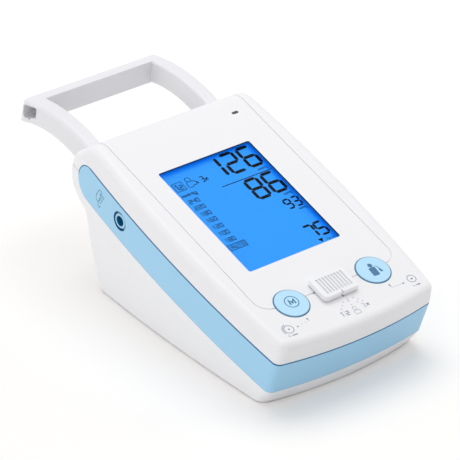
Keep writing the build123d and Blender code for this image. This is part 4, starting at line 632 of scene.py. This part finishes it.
# %%
SEGMENTS = {
    "a": ((0, 2), (1, 2)), "b": ((1, 1), (1, 2)), "c": ((1, 0), (1, 1)), "d": ((0, 0), (1, 0)),
    "e": ((0, 0), (0, 1)), "f": ((0, 1), (0, 2)), "g": ((0, 1), (1, 1)),
}
DIGITS = {
    "1": "bc", "2": "abged", "3": "abgcd", "5": "afgcd",
    "6": "afgcde", "7": "abc", "8": "abcdefg", "9": "abcdfg",
}
BAR_GAP = 0.1           # from a bar's tip to the corner where two bars meet


def bar(start, end, width):
    """One display segment between two corners, with pointed ends."""
    a, b = Vector(start), Vector(end)
    along = (b - a).normalized()
    side = Vector((-along.y, along.x)) * width / 2
    a, b = a + along * BAR_GAP, b - along * BAR_GAP
    inset = along * width / 2
    return [a, a + inset - side, b - inset - side, b, b - inset + side, a + inset + side]


def reading(digits, size, width):
    """Bars of some digits, each given with its lower left corner; size is a digit's width and height."""
    shapes = []
    for sign, (left, low) in digits:
        for key in DIGITS[sign]:
            ends = [(left + x * size[0], low + y * size[1] / 2) for x, y in SEGMENTS[key]]
            shapes.append(bar(*ends, width))
    return shapes


print("digits:", "".join(DIGITS))

# %% [markdown]
# Small lettering is drawn with single strokes, on a grid one wide and two high. A font would be
# quicker, but its outlines have far more faces and its shapes are not those of a display.

# %%
STROKES = {
    "0": [[(0, 0), (1, 0), (1, 2), (0, 2), (0, 0)]],
    "1": [[(0.2, 1.6), (0.6, 2), (0.6, 0)]],
    "2": [[(0, 2), (1, 2), (1, 1), (0, 1), (0, 0), (1, 0)]],
    "3": [[(0, 2), (1, 2), (1, 0), (0, 0)], [(0.2, 1), (1, 1)]],
    "4": [[(0, 2), (0, 1), (1, 1)], [(1, 2), (1, 0)]],
    "6": [[(1, 2), (0, 2), (0, 0), (1, 0), (1, 1), (0, 1)]],
    "8": [[(0, 0), (1, 0), (1, 2), (0, 2), (0, 0)], [(0, 1), (1, 1)]],
    "m": [[(0, 0), (0, 1.3), (0.5, 1.1), (0.5, 0)], [(0.5, 1.1), (1, 1.3), (1, 0)]],
    "H": [[(0, 0), (0, 2)], [(1, 0), (1, 2)], [(0, 1), (1, 1)]],
    "g": [[(1, 1.3), (0, 1.3), (0, 0.2), (1, 0.2)], [(1, 1.3), (1, -0.6), (0, -0.6)]],
    "/": [[(0, 0), (1, 2)]],
    "i": [[(0.5, 0), (0.5, 1.3)], [(0.5, 1.7), (0.5, 2)]],
    "n": [[(0, 0), (0, 1.3), (1, 1.3), (1, 0)]],
    "x": [[(0, 0), (1, 1.3)], [(0, 1.3), (1, 0)]],
    "A": [[(0, 0), (0, 1.6), (0.5, 2), (1, 1.6), (1, 0)], [(0, 0.9), (1, 0.9)]],
    "U": [[(0, 2), (0, 0), (1, 0), (1, 2)]],
    "T": [[(0, 2), (1, 2)], [(0.5, 2), (0.5, 0)]],
    "O": [[(0, 0), (1, 0), (1, 2), (0, 2), (0, 0)]],
}


def lettering(text, corner, height, width, stroke, space=0.45):
    """Small signs in one row; height is that of a capital, width that of one sign."""
    shapes = []
    for number, sign in enumerate(text):
        left = corner[0] + number * width * (1 + space)
        for points in STROKES[sign]:
            shapes += ribbon([(left + x * width, corner[1] + y * height / 2) for x, y in points], stroke)
    return shapes


print("signs:", "".join(STROKES))

# %% [markdown]
# `mark` turns the shapes into one piece on a height above the face, and lets it ride on the body that
# carries it. `lines` and `dots` draw a table of rows, as most signs are made of several of them.


# %%
def mark(name, shapes, w, finish, body, place=face_point):
    """One piece made of flat polygons at height w above the face."""
    mesh = bpy.data.meshes.new(name)
    vertices, faces = [], []
    for shape in shapes:
        first = len(vertices)
        vertices += [place(p[0], p[1], w) for p in shape]
        faces.append(list(range(first, first + len(shape))))
    mesh.from_pydata(vertices, [], faces)
    mesh.materials.append(finish)
    piece = bpy.data.objects.new(name, mesh)
    scene.collection.objects.link(piece)
    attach(piece, body)
    print(name, "has", len(faces), "faces")
    return piece


def lines(rows):
    """Ribbons for rows of points and width; True at the end of a row closes its line."""
    return [quad for points, width, *closed in rows for quad in ribbon(points, width, bool(closed))]


def dots(rows, count):
    """Filled ellipses with `count` corners, for rows of u, v and the two half widths."""
    return [ellipse((u, v), (across, along), count) for u, v, across, along in rows]


print("corners of a round dot:", len(dots([(0, 0, 1, 1)], 12)[0]))

# %% [markdown]
# ## What the display shows
#
# Two large readings with a line between them, two small ones with a pointer, and their units. The
# marks lie on the display glass, just behind the bezel.

# %%
GLASS_W = -3.27         # just in front of the display glass

large = reading([("1", (-4.4, 135.1)), ("2", (8.2, 135.1)), ("6", (20.7, 135.1))], (8.7, 15.8), 2.25)
large += reading([("8", (8.7, 111.0)), ("6", (20.9, 111.1))], (8.4, 15.8), 2.25)
mark("display_readings", large, GLASS_W, segment, "housing")

small = reading([("9", (19.8, 96.4)), ("3", (25.8, 96.4))], (4.0, 7.4), 1.3)
small += reading([("7", (16.8, 70.6)), ("5", (24.2, 70.6))], (5.5, 10.0), 1.65)
small.append([(18.9, 68.7), (20.6, 65.7), (22.5, 68.7)])
mark("display_small_readings", small, GLASS_W, segment, "housing")

line = ribbon([(-5.6, 128.85), (30.9, 128.65)], 0.6)
mark("display_line", line, GLASS_W, segment, "housing")

UNITS = [  # text, lower left corner, height, width and stroke of a sign
    ("mmHg", (23.2, 130.6), 2.0, 1.2, 0.3),
    ("mmHg", (24.2, 107.0), 1.9, 1.05, 0.28),
    ("mmHg", (25.2, 93.3), 1.7, 0.95, 0.28),
    ("/min", (23.9, 65.8), 1.9, 1.1, 0.28),
]
units = [quad for row in UNITS for quad in lettering(*row)]
mark("display_units", units, GLASS_W, faint, "housing")

# %% [markdown]
# Above left, a boxed user number, an outlined person with a cuff, and the sign for repeated
# readings.

# %%
icons = lines([
    ([(-32.3, 136.5), (-25.7, 136.5), (-25.7, 143.3), (-32.3, 143.3)], 0.4, True),
])
icons += lettering("1", (-31.4, 137.6), 4.4, 1.9, 0.75)
icons += lettering("2", (-28.9, 137.6), 3.4, 1.9, 0.6)
icons += lines([
    (ellipse((-20.8, 142.8), (1.75, 1.75), 20), 0.42, True),
    ([(-22.0, 141.2), (-23.2, 140.4), (-23.5, 137.4), (-22.9, 136.6), (-20.4, 136.6), (-19.9, 137.6)], 0.42),
    (
        [
            (-19.7, 141.2), (-18.6, 140.6), (-17.9, 140.9), (-16.9, 139.4), (-17.4, 138.0), (-18.6, 137.2),
            (-19.9, 137.9),
        ],
        0.42,
    ),
    ([(-17.3, 139.8), (-16.2, 138.6), (-16.6, 137.5)], 0.7),
])
icons += lettering("3", (-13.3, 137.4), 4.2, 1.9, 0.65)
icons += lettering("x", (-10.7, 137.5), 3.6, 1.9, 0.6)
mark("display_icons", icons, GLASS_W, segment, "housing")

# %% [markdown]
# The left column is a scale of seven labels under its unit, and a boxed word below them.

# %%
LABELS = [  # text, and v of its lower edge
    ("240", 125.2), ("220", 119.5), ("180", 113.8), ("160", 108.0), ("120", 102.0), ("100", 96.1),
    ("180", 90.1),
]
SCALE_STROKE = 0.5

scale = lettering("mmHg", (-32.4, 131.2), 2.3, 1.9, SCALE_STROKE)
for text, low in LABELS:
    scale += lettering(text, (-31.3, low), 2.9, 1.7, SCALE_STROKE, space=0.5)
box = [(-32.7, 83.5), (-20.9, 83.5), (-20.9, 87.8), (-32.7, 87.8)]
scale += ribbon(box, SCALE_STROKE, closed=True)
scale += lettering("AUTO", (-31.2, 84.5), 2.3, 1.6, SCALE_STROKE, space=0.55)
mark("display_scale", scale, GLASS_W, segment, "housing")

# %% [markdown]
# ## Printed marks on the face
#
# Beside the buttons thin brackets lead to a clock sign and a round sign. A fan of dots below the
# slider leads to its three positions. The ink is grey where the print is solid, and paler where its
# lines are too fine for full colour. Print is raised by a fiftieth of a millimetre.

# %%
PRINT_W = 0.02
CLOCK = (-43.9, 16.3)
ROUND_SIGN = (46.3, 16.3)

marks = ribbon(ellipse(CLOCK, (2.9, 2.9), 32), 0.42, closed=True)
marks += dots([(*CLOCK, 0.6, 0.6)], 14)
marks += dots([(-37.9, 15.8, 0.6, 0.5)], 12)
marks += lines([([(-29.5, 18.9), (-29.2, 17.6)], 0.75), ([(-44.5, 11.5), (-41.4, 11.4)], 0.7)])
marks += ribbon(ellipse(ROUND_SIGN, (2.7, 2.7), 32), 0.42, closed=True)
marks += dots([(46.3, 16.2, 0.75, 0.6)], 14)
marks += ribbon([(31.1, 18.8), (31.1, 16.9)], 0.7)
marks += dots([(39.5, 15.5, 0.75, 0.5)], 12)
marks += ribbon([(45.8, 11.0), (47.6, 10.9)], 0.6)
marks += [[(47.2, 11.7), (48.9, 11.0), (47.2, 10.2)]]
marks += dots([(-13.3, 32.5, 0.6, 0.6), (0.9, 23.2, 0.55, 0.5)], 12)
marks += lettering("2", (-5.9, 9.8), 2.9, 1.6, 0.5)
marks += ribbon([(-9.3, 12.8), (-8.4, 13.4), (-8.6, 10.0)], 0.5)
marks += lettering("x", (9.1, 10.9), 2.6, 1.7, 0.55)
mark("face_marks", marks, PRINT_W, ink, "housing")

pale = lines([
    ([(-6.7, 13.9), (-7.0, 9.5)], 0.22),
    (ellipse(CLOCK, (3.9, 3.9), 20, 95, 215), 0.9),
    ([(-46.5, 13.2), (-47.3, 11.6), (-44.5, 11.5)], 0.4),
    ([(43.7, 11.9), (43.8, 10.9), (45.8, 11.0)], 0.4),
    ([(31.1, 16.9), (31.3, 15.9), (33.0, 15.7), (39.4, 15.5)], 0.28),
    ([(-29.2, 17.6), (-28.9, 16.7)], 0.3),
])
pale += dots([(u, v, 0.35, 0.35) for u, v in ((-34.5, 16.3), (-31.6, 16.4), (-29.3, 16.6))], 8)
FAN = [
    (-6.6, 15.2), (-2.2, 19.2), (-4.4, 17.2), (5.5, 19.6),
    (5.5, 15.7), (8.9, 15.3), (1.05, 15.6), (7.2, 17.4),
]
pale += dots([(u, v, 0.5, 0.4) for u, v in FAN], 10)
pale += lines([
    ([(1.5, 20.6), (1.1, 17.8)], 0.5),
    (ellipse((0.8, 12.6), (1.15, 1.3), 20), 0.42, True),
    ([(-0.9, 8.2), (2.6, 8.2), (2.8, 10.7), (-1.0, 10.9)], 0.42, True),
])
pale += lettering("3", (6.4, 10.6), 3.0, 1.6, 0.45)
mark("face_pale_marks", pale, PRINT_W, pale_ink, "housing")

# %% [markdown]
# ## Signs on the buttons
#
# A ring with a letter on the memory button, and a person with a cuff on the start button. They lie on
# the nearly flat tops and are pressed with them, so they ride on the buttons' bodies.

# %%
BUTTON_W = 0.62

ring = lines([
    (ellipse((-29.55, 32.5), (4.2, 4.2), 48), 0.55, True),
    ([(-31.3, 30.7), (-30.8, 34.1), (-29.5, 31.6), (-27.5, 33.9), (-27.9, 30.5)], 1.1),
])
mark("memory_sign", ring, BUTTON_W, button_ink, "memory_button")

person = [ellipse((30.15, 35.25), (1.45, 1.55), 24)]
person.append([
    (27.6, 33.3), (28.5, 33.7), (31.6, 33.6), (32.0, 32.4), (31.6, 27.4), (30.6, 26.9), (27.6, 27.2),
    (27.2, 28.0),
])
person += ribbon([(32.4, 33.9), (33.6, 32.6), (33.9, 30.0)], 0.5)
person.append([(33.1, 30.9), (34.3, 30.9), (34.9, 28.0), (33.2, 28.6)])
mark("start_sign", person, BUTTON_W, button_ink, "start_button")

# %% [markdown]
# ## Cuff sign on the band
#
# A rolled cuff with its strap and hose stub, drawn as thin lines on the curved band. Each point is
# dropped onto the band from the left, so the lines follow its surface.


# %%
def on_band(v, w, lift):
    """The point of the band's outer surface at v and w, lifted off it."""
    y = CREST_Y + v * cos(SLOPE) - w * sin(SLOPE)
    z = CREST_Z + v * sin(SLOPE) + w * cos(SLOPE)
    start = Vector((-0.1, y / MM, z / MM))
    found, spot, normal, _ = nodes["side_band"].ray_cast(start, Vector((1, 0, 0)))
    return spot + normal * lift / MM if found else face_point(0, v, w)


BAND_PRINT_LIFT = 0.03

cuff = lines([
    (
        [
            (169.3, -21.4), (169.4, -19.8), (171.2, -19.7), (172.2, -21.0), (173.6, -25.2), (173.6, -27.0),
            (172.8, -28.4), (170.7, -28.9),
        ],
        0.48,
    ),
    ([(170.7, -28.9), (170.2, -31.3), (168.5, -31.3), (168.1, -29.6)], 0.5),
    ([(169.3, -21.5), (170.7, -28.9)], 0.38),
    ([(167.7, -21.5), (170.5, -28.6)], 0.42),
    ([(168.9, -21.8), (166.3, -22.0), (168.9, -28.9)], 0.42),
    ([(169.9, -21.9), (170.4, -23.1)], 0.8),
])
mark("cuff_sign", cuff, BAND_PRINT_LIFT, band_ink, "housing", on_band)

# %% [markdown]
# ## Camera
#
# A long lens from the front left, a little above, with the camera turned slightly about its own axis.

# %%
AZIMUTH, ELEVATION, ROLL = radians(-38.636), radians(30.031), radians(0.541)
DISTANCE = 1.954308
TARGET = Vector((0.001832, -0.007888, 0.0464))

back = Vector((sin(AZIMUTH) * cos(ELEVATION), -cos(AZIMUTH) * cos(ELEVATION), sin(ELEVATION)))
right = (-back).cross(Vector((0, 0, 1))).normalized()
up = right.cross(-back)
right, up = right * cos(ROLL) + up * sin(ROLL), up * cos(ROLL) - right * sin(ROLL)

lens_data = bpy.data.cameras.new("camera")
lens_data.sensor_width = 36.0
lens_data.lens = 261.09
camera = bpy.data.objects.new("camera", lens_data)
turn = Matrix((right, up, back)).transposed().to_4x4()
camera.matrix_world = Matrix.Translation(TARGET + back * DISTANCE) @ turn
scene.collection.objects.link(camera)
scene.camera = camera
print("camera at", tuple(round(x, 3) for x in camera.matrix_world.translation))

# %% [markdown]
# ## Studio
#
# A pale floor, which looks whiter to the camera than the light it gives back, so that its tint does
# not wash over the object. It is open when looked at from below, so that the underside and the
# battery door can be seen.

# %%
FLOOR_REACH = 6.0                           # in metres, far past the edge of any view
FLOOR_SEEN = (1.0, 0.982, 0.966, 1)
FLOOR_BOUNCE = (0.88, 0.86, 0.84, 1)

floor_mesh = bpy.data.meshes.new("floor")
corners = [(x * FLOOR_REACH, y * FLOOR_REACH, 0) for x, y in ((-1, -1), (1, -1), (1, 1), (-1, 1))]
floor_mesh.from_pydata(corners, [], [(0, 1, 2, 3)])
floor = bpy.data.objects.new("floor", floor_mesh)
scene.collection.objects.link(floor)


def seen_directly(tree):
    """1 for what the camera sees, also in a mirror or through glass; 0 for light that bounces."""
    path = tree.new("ShaderNodeLightPath")
    mirrored = tree.math("MAXIMUM", path.outputs["Is Glossy Ray"], path.outputs["Is Transmission Ray"])
    return tree.math("MAXIMUM", path.outputs["Is Camera Ray"], mirrored)


paper, tree, shader = material("white_paper")
fibre = tree.new("ShaderNodeTexNoise", {"Vector": tree.place(), "Scale": 900.0})
tone = tree.math("ADD", 0.998, tree.math("MULTIPLY", fibre.outputs["Fac"], 0.004))
tint = toned(tree, tree.mix(seen_directly(tree), FLOOR_BOUNCE, FLOOR_SEEN), tone)
tree.link(tint, shader.inputs["Base Color"])
shader.inputs["Roughness"].default_value = 0.9
shader.inputs["Specular IOR Level"].default_value = 0.0
underside = tree.new("ShaderNodeNewGeometry").outputs["Backfacing"]
open_below = tree.new("ShaderNodeMixShader", {"Fac": underside})
output = next(n for n in tree.tree.nodes if n.type == "OUTPUT_MATERIAL")
tree.link(shader.outputs["BSDF"], open_below.inputs[1])
tree.link(tree.new("ShaderNodeBsdfTransparent").outputs[0], open_below.inputs[2])
tree.link(open_below.outputs[0], output.inputs["Surface"])
floor_mesh.materials.append(paper)
print("floor corners:", corners)

# %% [markdown]
# The sky lights the object softly. It is brighter low on the left, so that the left side is well lit
# while the floor keeps only a faint shadow on the right. What the camera sees past the floor is plain
# white instead.

# %%
SKY = 0.69                                  # the even part of the glow
SKY_LEAST = 0.1
TO_LEFT, TO_REAR = -1.2, 0.2                # how much it changes along x and y, near the horizon

world = bpy.data.worlds.new("studio")
world.use_nodes = True
scene.world = world
tree = Tree(world.node_tree)
world.node_tree.nodes.clear()
direction = tree.new("ShaderNodeTexCoord").outputs["Generated"]
towards = tree.new("ShaderNodeSeparateXYZ", {"Vector": direction})
low = tree.inverse(tree.math("ABSOLUTE", towards.outputs["Z"]))
low = tree.math("MULTIPLY", low, low)
from_side = tree.math("MULTIPLY", towards.outputs["X"], TO_LEFT)
from_rear = tree.math("MULTIPLY", towards.outputs["Y"], TO_REAR)
uneven = tree.math("MULTIPLY", tree.math("ADD", from_side, from_rear), low)
glow = tree.math("MAXIMUM", tree.math("ADD", SKY, uneven), SKY_LEAST)
ambient = tree.new("ShaderNodeBackground", {"Color": (1, 1, 1, 1), "Strength": glow})
backdrop = tree.new("ShaderNodeBackground", {"Color": (1, 1, 1, 1), "Strength": 1.0})
choice = tree.new("ShaderNodeMixShader", {"Fac": seen_directly(tree)})
tree.link(ambient.outputs[0], choice.inputs[1])
tree.link(backdrop.outputs[0], choice.inputs[2])
tree.link(choice.outputs[0], tree.new("ShaderNodeOutputWorld").inputs["Surface"])
print("sky nodes:", len(world.node_tree.nodes))

# %% [markdown]
# One large soft light hangs overhead, a little behind and to the right, and draws the shadow under
# the front edge. A weak fill comes from the right.


# %%
def area_light(name, spot, aim, size, power):
    """A round lamp at a spot, turned to what it lights; size in metres, power in watts."""
    data = bpy.data.lights.new(name, "AREA")
    data.shape = "DISK"
    data.size = size
    data.energy = power
    lamp = bpy.data.objects.new(name, data)
    lamp.location = spot
    lamp.rotation_mode = "QUATERNION"
    lamp.rotation_quaternion = (Vector(aim) - Vector(spot)).to_track_quat("-Z", "Y")
    scene.collection.objects.link(lamp)


area_light("key", (0.22, 0.34, 1.5), aim=(0, 0, 0.04), size=1.3, power=8.6)
area_light("right fill", (1.0, -0.3, 0.5), aim=(0.1, -0.05, 0.0), size=0.8, power=2.2)
scene.view_settings.view_transform = "Standard"

# %% [markdown]
# ## The end
